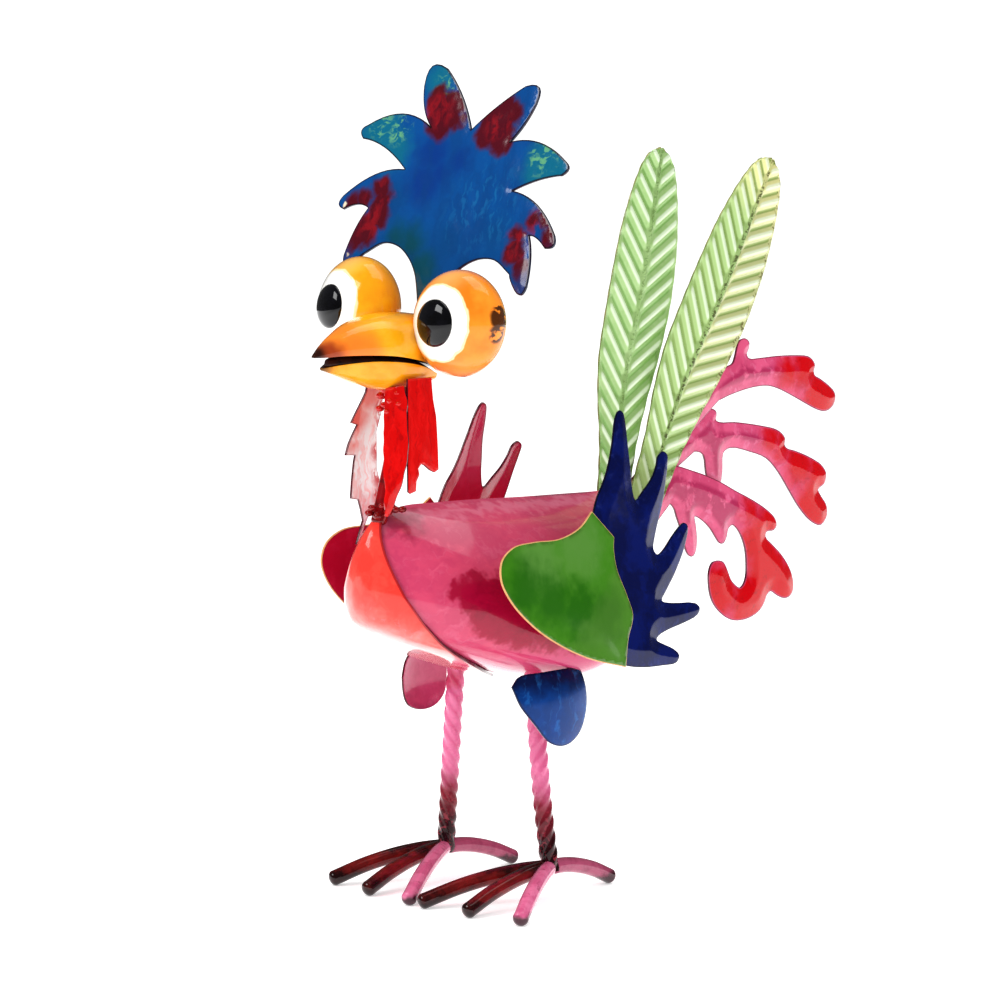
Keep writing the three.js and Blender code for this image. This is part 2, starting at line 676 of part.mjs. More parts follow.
// Finishes
const finish = (color, metalness = 0.1) => new THREE.MeshStandardMaterial({ color, roughness: 0.25, metalness });
const pink = '#c75b7a';
const coral = '#ff5a4c';
const gold = '#f5a623';
const navy = '#06154a';
const plumeGreen = '#a9d18e';
const tailPink = '#d2455f';
const steel = '#6a2433';

const statuette = new THREE.Group();
const add = (parent, name, geometry, material) => {
  const mesh = new THREE.Mesh(geometry, material);
  mesh.name = name;
  parent.add(mesh);
};
add(statuette, 'body', body, finish(pink));
add(statuette, 'breast_plate', breast, finish(coral));
add(statuette, 'neck_rod', neck, finish('#8a0c12'));
add(statuette, 'hackle_left', hackleLeft, finish('#c80000'));
add(statuette, 'hackle_right', hackleRight, finish('#f2b8b8'));
add(statuette, 'hackle_front', hackleFront, finish('#d80a0a'));
add(head, 'beak_upper', beakUpper, finish('#f7b52a'));
add(head, 'beak_lower', beakLower, finish('#f7b52a'));
add(head, 'crest', crest, finish('#0a5aa8'));
looks.forEach((look) => {
  const { word, side } = look;
  const handed = (geometry) => (side > 0 ? geometry : mirrored(geometry));
  add(head, `eye_ball_${word}`, eyeBall(look), finish(gold));
  add(head, `pupil_${word}`, pupil(look), finish('#101014'));
  add(statuette, `wing_plate_${word}`, handed(wing), finish('#4f8a1e'));
  add(statuette, `wing_feathers_${word}`, handed(feathers), finish(navy));
  add(statuette, `leg_${word}`, handed(leg), finish('#d0608c'));
  toes.forEach(({ name }) => add(statuette, `toe_${word}_${name}`, handed(toeSolids[name]), finish(steel)));
});
let tailRoom = bodyRoom;
add(statuette, 'thigh_left', thighPlate(thighLeft, 1), finish('#0a56a5'));
add(statuette, 'thigh_right', thighPlate(thighRight, -1), finish('#c75b7a'));
plumes.forEach((plume) => {
  const geometry = plumeGeometry(plume);
  tailRoom = tailRoom.add(solidOf(grown(geometry, gap)));
  add(statuette, plume.name, geometry, finish(plumeGreen));
});
Object.keys(curls).forEach((name) => {
  add(statuette, name, geometryOf(curlSolid(curls[name]).subtract(tailRoom)), finish(tailPink));
});
statuette.add(head);

// The origin is on the floor, below the middle of the object's box.
statuette.updateMatrixWorld(true);
const extent = new THREE.Box3().setFromObject(statuette, true);
const centre = extent.getCenter(new THREE.Vector3());
statuette.position.set(-centre.x, -centre.y, -extent.min.z);

export default statuette;
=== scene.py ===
# %% [markdown]
# # A rooster of painted sheet steel
#
# The real bird is a garden or shelf ornament. Its maker cuts shapes from thin steel sheet,
# creases or domes them, welds them to a formed body and two bar legs, and lacquers every
# piece in a bright gloss. We dress a fixed model of it here: the solids give every place and
# size, and this lesson gives each piece its true sheet, its crease, its edge and its paint.

# %% The fixed frame
import math

import bpy
import numpy as np
from mathutils import Matrix, Vector, noise
from mathutils.bvhtree import BVHTree
from mathutils.geometry import delaunay_2d_cdt


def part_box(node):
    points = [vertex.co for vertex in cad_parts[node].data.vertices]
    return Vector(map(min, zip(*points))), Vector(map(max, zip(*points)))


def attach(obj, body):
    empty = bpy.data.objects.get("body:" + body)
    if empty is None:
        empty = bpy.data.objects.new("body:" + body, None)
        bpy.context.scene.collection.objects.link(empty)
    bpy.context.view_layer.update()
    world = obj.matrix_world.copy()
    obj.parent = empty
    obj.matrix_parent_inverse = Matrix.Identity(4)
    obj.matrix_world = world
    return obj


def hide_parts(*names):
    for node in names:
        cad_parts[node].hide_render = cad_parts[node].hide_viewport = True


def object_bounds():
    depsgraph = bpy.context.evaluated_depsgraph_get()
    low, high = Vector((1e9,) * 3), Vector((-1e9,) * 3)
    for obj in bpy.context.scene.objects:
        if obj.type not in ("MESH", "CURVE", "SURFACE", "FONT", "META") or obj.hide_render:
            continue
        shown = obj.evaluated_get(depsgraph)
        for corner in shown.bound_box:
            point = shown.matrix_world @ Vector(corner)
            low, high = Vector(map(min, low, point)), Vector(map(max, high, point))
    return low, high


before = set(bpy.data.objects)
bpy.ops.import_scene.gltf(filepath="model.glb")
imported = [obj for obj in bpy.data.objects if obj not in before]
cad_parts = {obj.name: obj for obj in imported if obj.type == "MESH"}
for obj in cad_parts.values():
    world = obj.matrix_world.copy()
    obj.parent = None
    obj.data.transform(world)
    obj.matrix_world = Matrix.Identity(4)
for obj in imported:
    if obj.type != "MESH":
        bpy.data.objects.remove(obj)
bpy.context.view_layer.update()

# %% [markdown]
# The bird is drawn in millimetres from its own zero: the middle plane, the ankles and the
# floor. The loaded solids stand a little away from that zero, so the shift is read from
# the left eye ball, whose place on the head is known.

# %% The bird's own millimetres
MM = 0.001
SIDES = {"left": 1, "right": -1}
HEAD = Vector((0, -57, 295.4))
HEAD_ROLL = math.radians(5.2)


def middle_of(name):
    low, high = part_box(name)
    return (low + high) / 2


BALL_SPREAD = 32.5
LEFT_EYE = Matrix.Rotation(HEAD_ROLL, 3, "Y") @ Vector((BALL_SPREAD, 0, 0)) + HEAD
SHIFT = middle_of("eye_ball_left") - LEFT_EYE * MM


def bird(x, y, z):
    return Vector((x, y, z)) * MM + SHIFT


def on_head(x, y, z):
    turned = Matrix.Rotation(HEAD_ROLL, 3, "Y") @ Vector((x, y, z)) + HEAD
    return bird(*turned)


print("shift in mm:", [round(c * 1000, 2) for c in SHIFT])

# %% [markdown]
# The camera stands where the photograph was taken from: a little above the wings and to
# the left of the beak, far enough away that the legs look almost parallel. It comes first,
# because every later choice is judged through it.

# %% The camera
VIEW_FROM = (1038.6, -1100.8, 345.5)
VIEW_YAW = math.radians(43.175)
VIEW_PITCH = math.radians(5.462)
SENSOR_MM, LENS_SHARE = 36, 3.0
bpy.ops.object.select_all(action="DESELECT")
bpy.ops.object.camera_add(location=bird(*VIEW_FROM),
                          rotation=(math.pi / 2 - VIEW_PITCH, 0, VIEW_YAW))
camera = bpy.context.active_object
camera.name = "photo_camera"
camera.data.sensor_width = SENSOR_MM
camera.data.lens = SENSOR_MM * LENS_SHARE
camera.data.clip_end = 50
bpy.context.scene.camera = camera
print("lens in mm:", camera.data.lens)

# %% [markdown]
# Smooth lines run through a few given points. A spline that spaces itself by the
# distance between its points does not overshoot where they crowd, and it is the same kind
# of line that the solids were drawn with.

# %% Smooth lines through a few points


def spline(points, per_span=12):
    pts = np.array(points, float)
    full = np.vstack([2 * pts[0] - pts[1], pts, 2 * pts[-1] - pts[-2]])
    line = []
    for k in range(len(pts) - 1):
        p0, p1, p2, p3 = full[k:k + 4]
        d0, d1, d2 = (max(np.linalg.norm(b - a) ** 0.5, 1e-4)
                      for a, b in ((p0, p1), (p1, p2), (p2, p3)))
        m1 = ((p1 - p0) / d0 - (p2 - p0) / (d0 + d1) + (p2 - p1) / d1) * d1
        m2 = ((p2 - p1) / d1 - (p3 - p1) / (d1 + d2) + (p3 - p2) / d2) * d1
        for i in range(per_span):
            t = i / per_span
            line.append(p1 + m1 * t + (3 * (p2 - p1) - 2 * m1 - m2) * t * t
                        + (2 * (p1 - p2) + m1 + m2) * t ** 3)
    line.append(pts[-1])
    return np.array(line)


def evenly(line, count):
    line = np.array(line, float)
    along = np.concatenate([[0], np.cumsum(np.linalg.norm(np.diff(line, axis=0), axis=1))])
    wanted = np.linspace(0, along[-1], count)
    return np.stack([np.interp(wanted, along, line[:, k]) for k in range(line.shape[1])], axis=1)


def smooth_step(a, b, x):
    t = min(1.0, max(0.0, (x - a) / (b - a)))
    return t * t * (3 - 2 * t)


print("a spline through 3 points has", len(spline([(0, 0), (1, 1), (2, 0)])), "points")

# %% [markdown]
# A piece becomes part of the model once it is settled: its place is applied, it is shaded
# smooth by angle and hung on the root, and the solids it stands for are hidden.

# %% Pieces and their places


def new_object(name, verts, faces, paints=()):
    mesh = bpy.data.meshes.new(name)
    mesh.from_pydata([tuple(v) for v in verts], [], [tuple(int(i) for i in f) for f in faces])
    mesh.validate()
    mesh.update()
    piece = bpy.data.objects.new(name, mesh)
    bpy.context.scene.collection.objects.link(piece)
    for paint in paints:
        mesh.materials.append(paint)
    return piece


def choose(piece):
    bpy.ops.object.select_all(action="DESELECT")
    piece.select_set(True)
    bpy.context.view_layer.objects.active = piece


def apply_modifiers(piece):
    choose(piece)
    for modifier in list(piece.modifiers):
        bpy.ops.object.modifier_apply(modifier=modifier.name)


def face_outward(piece):
    choose(piece)
    bpy.ops.object.mode_set(mode="EDIT")
    bpy.ops.mesh.select_all(action="SELECT")
    bpy.ops.mesh.remove_doubles(threshold=1e-7)
    bpy.ops.mesh.normals_make_consistent(inside=False)
    bpy.ops.object.mode_set(mode="OBJECT")


def settle(piece, slot_name, *nodes, angle=35):
    choose(piece)
    bpy.ops.object.transform_apply(location=True, rotation=True, scale=True)
    bpy.ops.object.shade_smooth_by_angle(angle=math.radians(angle))
    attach(piece, "root")
    if nodes:
        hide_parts(*nodes)
    print(piece.name, "faces:", len(piece.data.polygons))


# %% [markdown]
# Paint comes next, before any piece, so that each one is born in its finish. Gloss lacquer
# on steel has a hard clear skin over a slightly uneven colour. Three things sell it: a
# sharp reflection from the clear coat, strokes and clouds a few millimetres wide in the
# colour, and darker paint that has run thin over the cut edges.

# %% Nodes and colours


def linear(hex_colour):
    values = [int(hex_colour[i:i + 2], 16) / 255 for i in (1, 3, 5)]
    return tuple(v / 12.92 if v <= 0.04045 else ((v + 0.055) / 1.055) ** 2.4 for v in values) + (1,)


def add_node(tree, kind, links=(), **settings):
    made = tree.nodes.new(kind)
    for key, value in settings.items():
        if key.startswith("in_"):
            socket_name = key[3:].replace("_", " ")
            target = made.inputs[int(socket_name) if socket_name.isdigit() else socket_name]
            target.default_value = value
        else:
            setattr(made, key, value)
    for socket, source in links:
        tree.links.new(source, made.inputs[socket])
    return made


def spots(centres, soft):
    """A mask that is 1 near any of the points (place in metres, radius in mm)."""
    def build(tree, coords):
        mask = None
        for centre, radius in centres:
            far = add_node(tree, "ShaderNodeVectorMath", [(0, coords)],
                           operation="DISTANCE", in_1=tuple(centre))
            near = add_node(tree, "ShaderNodeMapRange", [(0, far.outputs["Value"])],
                            interpolation_type="SMOOTHSTEP", in_1=(radius - soft) * MM,
                            in_2=(radius + soft) * MM, in_3=1.0, in_4=0.0)
            if mask is None:
                mask = near.outputs[0]
            else:
                mask = add_node(tree, "ShaderNodeMath", [(0, mask), (1, near.outputs[0])],
                                operation="MAXIMUM").outputs[0]
        return mask
    return build


def bird_spots(places, soft):
    """The same for points (x, y, z, radius) in the bird's millimetres."""
    return spots([(bird(x, y, z), radius) for x, y, z, radius in places], soft)


def sweep(start, end):
    """A mask that grows from 0 at one place to 1 at another."""
    way = end - start
    def build(tree, coords):
        offset = add_node(tree, "ShaderNodeVectorMath", [(0, coords)],
                          operation="SUBTRACT", in_1=tuple(start))
        along = add_node(tree, "ShaderNodeVectorMath", [(0, offset.outputs[0])],
                         operation="DOT_PRODUCT", in_1=tuple(way / way.length))
        grown = add_node(tree, "ShaderNodeMapRange", [(0, along.outputs["Value"])],
                         interpolation_type="SMOOTHSTEP",
                         in_1=0.0, in_2=way.length, in_3=0.0, in_4=1.0)
        return grown.outputs[0]
    return build


def clouds(size_mm, low=0.45, high=0.6, stretch=(1, 1, 1)):
    """A mask of soft clouds or strokes of a real size."""
    def build(tree, coords):
        mapped = add_node(tree, "ShaderNodeMapping", [(0, coords)], in_3=stretch)
        grain = add_node(tree, "ShaderNodeTexNoise", [("Vector", mapped.outputs[0])],
                         in_Scale=1 / (size_mm * MM), in_Detail=3.0, in_Roughness=0.55)
        mask = add_node(tree, "ShaderNodeMapRange", [(0, grain.outputs["Fac"])],
                        in_1=low, in_2=high)
        return mask.outputs[0]
    return build


def carried(low, high, name="depth"):
    """A mask from a number that the points carry: 0 at low, 1 at high."""
    def build(tree, coords):
        number = add_node(tree, "ShaderNodeAttribute", attribute_name=name)
        grown = add_node(tree, "ShaderNodeMapRange", [(0, number.outputs["Fac"])],
                         interpolation_type="SMOOTHSTEP", in_1=low, in_2=high, in_3=0.0, in_4=1.0)
        return grown.outputs[0]
    return build


def both(first, second):
    """A mask that is 1 only where both of the others are."""
    def build(tree, coords):
        masks = [(0, first(tree, coords)), (1, second(tree, coords))]
        return add_node(tree, "ShaderNodeMath", masks, operation="MULTIPLY").outputs[0]
    return build


# how far apart the colour drifts and how deep the dents lie, in mm, then the clear coat's skin
DRIFT_MM, DENT_DEEP_MM = 7, 0.6
PAINT_IOR, PAINT_SHINE, COAT_IOR, COAT_ROUGH = 1.5, 0.2, 1.4, 0.06


def lacquer(name, base, layers=(), rough=0.2, coat=1.0, warp_mm=3.0, dent_mm=9.0, dent=0.25,
            metal=0.0):
    """Gloss lacquer: a base colour, painted layers over it, a clear coat and faint dents."""
    material = bpy.data.materials.new(name)
    material.use_nodes = True
    tree = material.node_tree
    tree.nodes.clear()
    place = add_node(tree, "ShaderNodeTexCoord").outputs["Object"]
    drift = add_node(tree, "ShaderNodeTexNoise", [("Vector", place)],
                     in_Scale=1 / (DRIFT_MM * MM), in_Detail=2.0)
    centred = add_node(tree, "ShaderNodeVectorMath", [(0, drift.outputs["Color"])],
                       operation="SUBTRACT", in_1=(0.5, 0.5, 0.5))
    pushed = add_node(tree, "ShaderNodeVectorMath", [(0, centred.outputs[0])], operation="SCALE",
                      in_Scale=warp_mm * MM * 4)
    warped = add_node(tree, "ShaderNodeVectorMath", [(0, place), (1, pushed.outputs[0])],
                      operation="ADD").outputs[0]
    colour = None
    for hex_colour, mask, strength in layers:
        amount = mask(tree, warped)
        if strength < 1:
            amount = add_node(tree, "ShaderNodeMath", [(0, amount)],
                              operation="MULTIPLY", in_1=strength).outputs[0]
        mix = add_node(tree, "ShaderNodeMix", [(0, amount)],
                       data_type="RGBA", in_7=linear(hex_colour))
        if colour is None:
            mix.inputs[6].default_value = linear(base)
        else:
            tree.links.new(colour, mix.inputs[6])
        colour = mix.outputs[2]
    dents = add_node(tree, "ShaderNodeTexNoise", [("Vector", place)],
                     in_Scale=1 / (dent_mm * MM), in_Detail=2.0)
    bump = add_node(tree, "ShaderNodeBump", [("Height", dents.outputs["Fac"])],
                    in_Strength=dent, in_Distance=DENT_DEEP_MM * MM)
    shader = add_node(tree, "ShaderNodeBsdfPrincipled", [("Normal", bump.outputs[0])],
                      in_Roughness=rough, in_Metallic=metal, in_IOR=PAINT_IOR,
                      in_Specular_IOR_Level=PAINT_SHINE, in_Coat_Weight=coat,
                      in_Coat_Roughness=COAT_ROUGH, in_Coat_IOR=COAT_IOR)
    if colour is None:
        shader.inputs["Base Color"].default_value = linear(base)
    else:
        tree.links.new(colour, shader.inputs["Base Color"])
    add_node(tree, "ShaderNodeOutputMaterial", [("Surface", shader.outputs[0])])
    return material


print("one hex colour in linear light:", [round(c, 3) for c in linear("#c75b7a")])

# %% [markdown]
# Most of the bird is sheet. Its outline is drawn flat, from one or more overlapping shapes,
# and filled with small triangles. The height of every point may depend on how far it lies
# from the nearest edge: a height that grows with that distance makes a crease down the
# middle of each tongue, as a maker's folding bar does. Solidify then gives the sheet its
# gauge and Bevel takes the sharpness off its cut edge.

# %% Sheets from outlines


def densify(points, step):
    dense = []
    for a, b in zip(points, list(points[1:]) + [points[0]]):
        count = max(1, int(math.dist(a, b) / step + 0.5))
        for i in range(count):
            dense.append((a[0] + (b[0] - a[0]) * i / count, a[1] + (b[1] - a[1]) * i / count))
    return dense


def edge_distance(points, segments):
    a = segments[:, 0][None]
    span = segments[:, 1][None] - a
    out = []
    for block in np.array_split(points, max(1, len(points) // 400)):
        off = block[:, None] - a
        t = np.clip((off * span).sum(2) / np.maximum((span ** 2).sum(2), 1e-9), 0, 1)
        out.append(np.sqrt(((off - span * t[..., None]) ** 2).sum(2).min(1)))
    return np.concatenate(out)


def fill_outline(shapes, step):
    points, faces = [], []
    for shape in shapes:
        dense = densify(shape, step)
        area = sum(a[0] * b[1] - b[0] * a[1] for a, b in zip(dense, dense[1:] + dense[:1]))
        if area < 0:
            dense.reverse()
        faces.append(list(range(len(points), len(points) + len(dense))))
        points += dense
    rim = np.array(points)
    low, high = rim.min(0), rim.max(0)
    inner = []
    row = 0
    v = low[1]
    while v < high[1]:
        u = low[0] + (step / 2 if row % 2 else 0)
        while u < high[0]:
            inner.append((u, v))
            u += step
        v += step * 0.87
        row += 1
    loops = np.concatenate([np.stack([rim[f], rim[f[1:] + f[:1]]], axis=1) for f in faces])
    inner = np.array(inner)
    clear = edge_distance(inner, loops) > 0.45 * step
    cloud = [Vector(p) for p in points] + [Vector(p) for p in inner[clear]]
    verts, _, tris, _, _, owners = delaunay_2d_cdt(cloud, [], faces, 0, 1e-5)
    kept = [t for t, owner in zip(tris, owners) if owner]
    used = sorted({i for t in kept for i in t})
    index = {old: new for new, old in enumerate(used)}
    flat = np.array([verts[i][:] for i in used])
    tris = [[index[i] for i in t] for t in kept]
    seen = {}
    for t in tris:
        for i in range(3):
            key = tuple(sorted((t[i], t[(i + 1) % 3])))
            seen[key] = seen.get(key, 0) + 1
    border = np.array([[flat[a], flat[b]] for (a, b), n in seen.items() if n == 1])
    return flat, tris, edge_distance(flat, border)


def carry(piece, values, name="depth"):
    numbers = piece.data.attributes.new(name, "FLOAT", "POINT")
    numbers.data.foreach_set("value", np.array(values, dtype=np.float32))


def give_gauge(piece, gauge, back=0, even=False):
    """Turns a surface into sheet. The last paint is the cut's, and back counts to the inner one."""
    solid = piece.modifiers.new("gauge", "SOLIDIFY")
    solid.thickness = gauge * MM
    solid.offset = 0
    solid.use_even_offset = even
    solid.material_offset = back
    solid.material_offset_rim = len(piece.data.materials) - 1


def round_edges(piece, name, width, segments=2, degrees=55, paint=-1):
    """Takes the sharpness off each edge that turns by more than an angle."""
    rounded = piece.modifiers.new(name, "BEVEL")
    rounded.width = width * MM
    rounded.segments = segments
    rounded.limit_method = "ANGLE"
    rounded.angle_limit = math.radians(degrees)
    rounded.material = paint


def cut_sheet(name, shapes, lift, where, materials, gauge=1.2, step=1.6, flip=False, edge=0.22,
              bare_edge=False):
    """A piece of sheet: outlines, each point's height and place, and face, back and edge paint."""
    flat, tris, depth = fill_outline(shapes, step)
    verts = [where(u, v, lift(u, v, d)) for (u, v), d in zip(flat, depth)]
    piece = new_object(name, verts, [t[::-1] if flip else t for t in tris], materials)
    carry(piece, depth)
    give_gauge(piece, gauge, back=1, even=True)
    round_edges(piece, "worn_edge", edge, paint=len(materials) - 1 if bare_edge else -1)
    apply_modifiers(piece)
    return piece


_, scrap, scrap_depth = fill_outline([[(0, 0), (20, 0), (20, 10), (0, 10)]], 2.0)
print("a 20 by 10 mm scrap:", len(scrap), "triangles,", round(scrap_depth.max(), 1), "mm deep")

# %% [markdown]
# The body is one sheet wrapped round the bird: a folded ridge on top, full cheeks and a
# squarer belly that closes to the tail. A loft through a few stations along the back is how
# a boat builder would draw it. Each ring is drawn from four numbers, and a little noise
# gives the shallow dents of sheet that was beaten by hand.

# %% Body shape
BODY_STATIONS = [
    (-92, 4, 163, 172, 153),
    (-88, 13, 163, 187, 147),
    (-80, 22, 161, 197, 142),
    (-66, 33, 158, 202, 135),
    (-40, 45, 154, 202.5, 125),
    (-10, 53, 150, 202, 115),
    (22, 57, 149, 201, 109),
    (50, 53, 154, 200.5, 114),
    (76, 41, 163, 200, 131),
    (98, 20, 178, 200, 158),
    (109, 3, 189, 198, 180),
]
BODY_POINTS = 96
DENT_PITCH, DENT_RISE = 0.028, 0.7


def body_ring(station, points):
    y, half, waist, top, keel = station
    ring = []
    for j in range(points):
        turn = 2 * math.pi * j / points
        across, up = math.sin(turn), math.cos(turn)
        if up > 0:
            tent = 1 - abs(math.asin(min(1, up))) / (math.pi / 2)
            share = 0.5 * (abs(across) + tent)
            z = waist + 0.5 * (up + 1 - tent) * (top - waist)
        else:
            share = abs(across) ** 0.6
            z = waist - abs(up) ** 0.6 * (waist - keel)
        ring.append(Vector((math.copysign(share * half, across), y, z)))
    return ring


def skin_of(rings, capped=True):
    count = len(rings[0])
    verts = [p for ring in rings for p in ring]
    faces = []
    for r in range(len(rings) - 1):
        for i in range(count):
            a, b = r * count + i, r * count + (i + 1) % count
            faces.append((a, b, b + count, a + count))
    if capped:
        faces.append(tuple(range(count))[::-1])
        faces.append(tuple(range(len(verts) - count, len(verts))))
    return verts, faces


def body_mesh_points():
    stations = spline(BODY_STATIONS, 9)
    rings = []
    for station in stations:
        ring = body_ring(station, BODY_POINTS)
        for p in ring:
            dent = noise.noise(p * DENT_PITCH) * DENT_RISE
            fade = smooth_step(-92, -70, p.y) * smooth_step(0, 12, abs(p.x))
            p.x += math.copysign(dent * fade, p.x)
        rings.append([bird(*p) for p in ring])
    return skin_of(rings)


print("body stations:", len(BODY_STATIONS))

# %% [markdown]
# The body's paint is a dusty rose on the back and a brighter pink low on the flank, brushed
# into each other while wet. Along the wing's lower edge a deep crimson band is painted shade,
# the wing's shadow on the flank; a paler strip on the near side of the ridge is a painted
# highlight, and a dark spot at the foot of the neck is painted shadow in the opening there.

# %% Body paint and body
WING_SHADE_SPOTS = [(35, -59, 163, 6), (38, -52, 160, 11), (41, -46, 157.5, 14), (43.3, -42, 153, 15.5),
           (45.5, -36, 149, 14.5), (47.5, -29, 143, 11), (50, -17, 138, 8.5), (51, -8, 135.5, 8),
           (53, 5, 141, 13), (53, 24, 137, 12)]
rose_lacquer = lacquer("rose_lacquer_on_steel", "#cf4c6e", [
    ("#b83a62", clouds(26, 0.42, 0.62, (1, 0.6, 1.6)), 0.55),
    ("#dc7896", clouds(9, 0.52, 0.68, (1, 0.5, 2)), 0.22),
    ("#cc4a78", sweep(bird(50, -20, 136), bird(46, -16, 118)), 0.9),
    # painted shade: the wing's shadow on the flank, deepest in its core
    ("#a40a3a", bird_spots(WING_SHADE_SPOTS, 2.5), 0.97),
    ("#86062e", both(bird_spots([(x, y, z, radius * 0.8) for x, y, z, radius in WING_SHADE_SPOTS[2:]], 5),
                     clouds(16, 0.44, 0.6, (1, 0.6, 1.4))), 0.5),
    # painted highlight along the near side of the ridge
    ("#e79ab0", both(sweep(bird(10, 0, 190), bird(6, 0, 197)),
                     sweep(bird(4, 0, 203), bird(8, 0, 198))), 0.35),
    # painted shadow in the opening at the foot of the neck
    ("#7c1233", bird_spots([(8, -74, 200, 12)], 6), 0.7),
], rough=0.24, warp_mm=5)
body = new_object("rooster_body", *body_mesh_points(), [rose_lacquer])
settle(body, "pink", "body", angle=40)
body_surface = BVHTree.FromPolygons([v.co.copy() for v in body.data.vertices],
                                    [tuple(p.vertices) for p in body.data.polygons])

# %% [markdown]
# The breast is a leaf of coral sheet, hammered to lie on the front of the body. Its outline
# is drawn as seen from the front, and each point is thrown back along the bird until it
# meets the body, then lifted by the thickness of the sheet: shrink-wrapping by hand.

# %% Breast plate
BREAST_LIFT = 1.15


def on_breast(x, z, lift):
    start = bird(x, -200, z)
    hit, normal, _, _ = body_surface.ray_cast(start, Vector((0, 1, 0)))
    if hit is None:
        hit, normal, _, _ = body_surface.find_nearest(bird(x, -30, z))
    if normal.y > 0.2:
        normal = -normal
    return hit + normal * (BREAST_LIFT + lift) * MM


coral_lacquer = lacquer("coral_lacquer_on_steel", "#fb4238", [
    ("#ff5e50", clouds(14, 0.45, 0.65), 0.5),
    # painted reflection: the lower far side is painted pale pink, with white painted highlights low
    # on the breast
    ("#f8b4b0", sweep(bird(4, -80, 164), bird(-12, -80, 132)), 0.85),
    ("#fbe6e6", bird_spots([(-16, -76, 142, 13), (0, -64, 128, 9)], 8), 0.85),
    ("#e88a92", both(bird_spots([(-2, -74, 138, 24)], 6),
                     clouds(5, 0.55, 0.62, (1.6, 1, 0.5))), 0.5),
    ("#d4202e", bird_spots([(6, -22, 118, 9), (14, -36, 124, 5)], 4), 0.9),
    ("#7a1020", carried(1.1, 0.5), 0.75),
], rough=0.2, warp_mm=4)
seam_edge = lacquer("dark_lacquer_over_cut_edge", "#5a1024", [("#2c0710", clouds(4), 0.6)],
                    rough=0.3)
BREAST_RIM = [(0, 200), (7.6, 185), (14.5, 172), (20.3, 160.5), (25, 149.5), (27, 141), (25, 131),
              (16, 119.5), (0, 112)]
BREAST_LEAF = (list(spline([(-x, z) for x, z in BREAST_RIM], 6))
               + list(spline(BREAST_RIM[::-1], 6))[1:-1])
breast = cut_sheet("breast_leaf", [[tuple(p) for p in BREAST_LEAF]], lambda u, v, d: 0.0,
                   on_breast, [coral_lacquer, coral_lacquer, seam_edge], gauge=1.5, step=1.8)
settle(breast, "coral", "breast_plate")

# %% [markdown]
# The eyes are two pressed balls, a little flattened from front to back, and each looks its
# own way. A sphere that is scaled before it is turned keeps its poles on the gaze, and the
# white cap is paint: its colour depends only on the angle from that pole.

# %% Eye balls
BALL_ACROSS, BALL_DEEP = 26.0, 18.5
PUPIL_RISE, PUPIL_SEAT = 4.5, 0.9
# how far along the gaze the white cap and its cream rim begin and are full, in mm
CAP_EDGE, CREAM_EDGE = (13.1, 13.6), (12.4, 12.8)
# for the left and the right eye: turn and lift of the gaze in degrees, the pupil's radius, and
# how far the ball sits ahead
LOOKS = {1: (-1, 2, 11.5, 0.0), -1: (-13, 4, 11.0, 4.5)}


def gaze_matrix(side):
    turn, lift, _, ahead = LOOKS[side]
    turned = (Matrix.Rotation(math.radians(turn), 4, "Z")
              @ Matrix.Rotation(math.radians(-lift), 4, "X"))
    roll = Matrix.Rotation(HEAD_ROLL, 4, "Y")
    return Matrix.Translation(on_head(side * BALL_SPREAD, -ahead, 0)) @ roll @ turned


def ball_paint(side):
    centre = gaze_matrix(side).to_translation()
    pole = (gaze_matrix(side).to_3x3() @ Vector((0, -1, 0))).normalized()
    tone, shade = ("#f8962e", "#f07a18") if side > 0 else ("#f6b01e", "#ee9a14")
    cap, cream = (sweep(centre + pole * begin * MM, centre + pole * full * MM)
                  for begin, full in (CAP_EDGE, CREAM_EDGE))
    layers = [
        (shade, clouds(18, 0.42, 0.62), 0.8),
        # painted highlight: a pale patch on the top front of each ball
        ("#f9c98c", spots([(centre + Vector((0, -6, 21)) * MM, 9)], 7), 0.4),
    ]
    if side > 0:
        below, deeper = centre - Vector((0, 0, 14)) * MM, centre - Vector((0, 0, 27)) * MM
        scorch = spots([(centre + Vector((25, 2, 3)) * MM, 6.5),
                        (centre + Vector((24, 0, -4)) * MM, 5)], 1)
        layers += [
            # painted reflection: the underside of the near ball is painted paler, as if lit from
            # the floor
            ("#f6b07c", sweep(below, deeper), 0.5),
            ("#3a1c0c", both(scorch, clouds(9, 0.4, 0.46, (1, 1, 1.8))), 0.95),
        ]
    layers += [("#fbe6b4", cream, 0.95), ("#fffdf8", cap, 1.0)]
    return lacquer("egg_lacquer_" + ("left" if side > 0 else "right"), tone, layers,
                   rough=0.16, warp_mm=0.45, dent=0.06)


def pressed_ball(name, across, deep, segments, rings):
    bpy.ops.object.select_all(action="DESELECT")
    bpy.ops.mesh.primitive_uv_sphere_add(segments=segments, ring_count=rings, radius=1)
    ball = bpy.context.active_object
    ball.name = name
    ball.data.transform(Matrix.Rotation(math.pi / 2, 4, "X"))
    ball.data.transform(Matrix.Diagonal((across * MM, deep * MM, across * MM, 1)))
    return ball


def eye_ball(word, side):
    ball = pressed_ball("eye_ball_dressed_" + word, BALL_ACROSS, BALL_DEEP, 96, 64)
    ball.data.transform(gaze_matrix(side))
    ball.data.materials.append(ball_paint(side))
    settle(ball, "gold", "eye_ball_" + word)


pupil_enamel = lacquer("black_enamel", "#08080b", [("#15151c", clouds(8), 0.5)],
                       rough=0.08, warp_mm=1, dent=0.03)


def pupil(word, side):
    dome = pressed_ball("pupil_dome_" + word, LOOKS[side][2], PUPIL_RISE, 64, 32)
    dome.data.transform(Matrix.Translation((0, -BALL_DEEP * PUPIL_SEAT * MM, 0)))
    dome.data.transform(gaze_matrix(side))
    dome.data.materials.append(pupil_enamel)
    settle(dome, "black", "pupil_" + word)


for side_word, side_sign in SIDES.items():
    eye_ball(side_word, side_sign)
    pupil(side_word, side_sign)
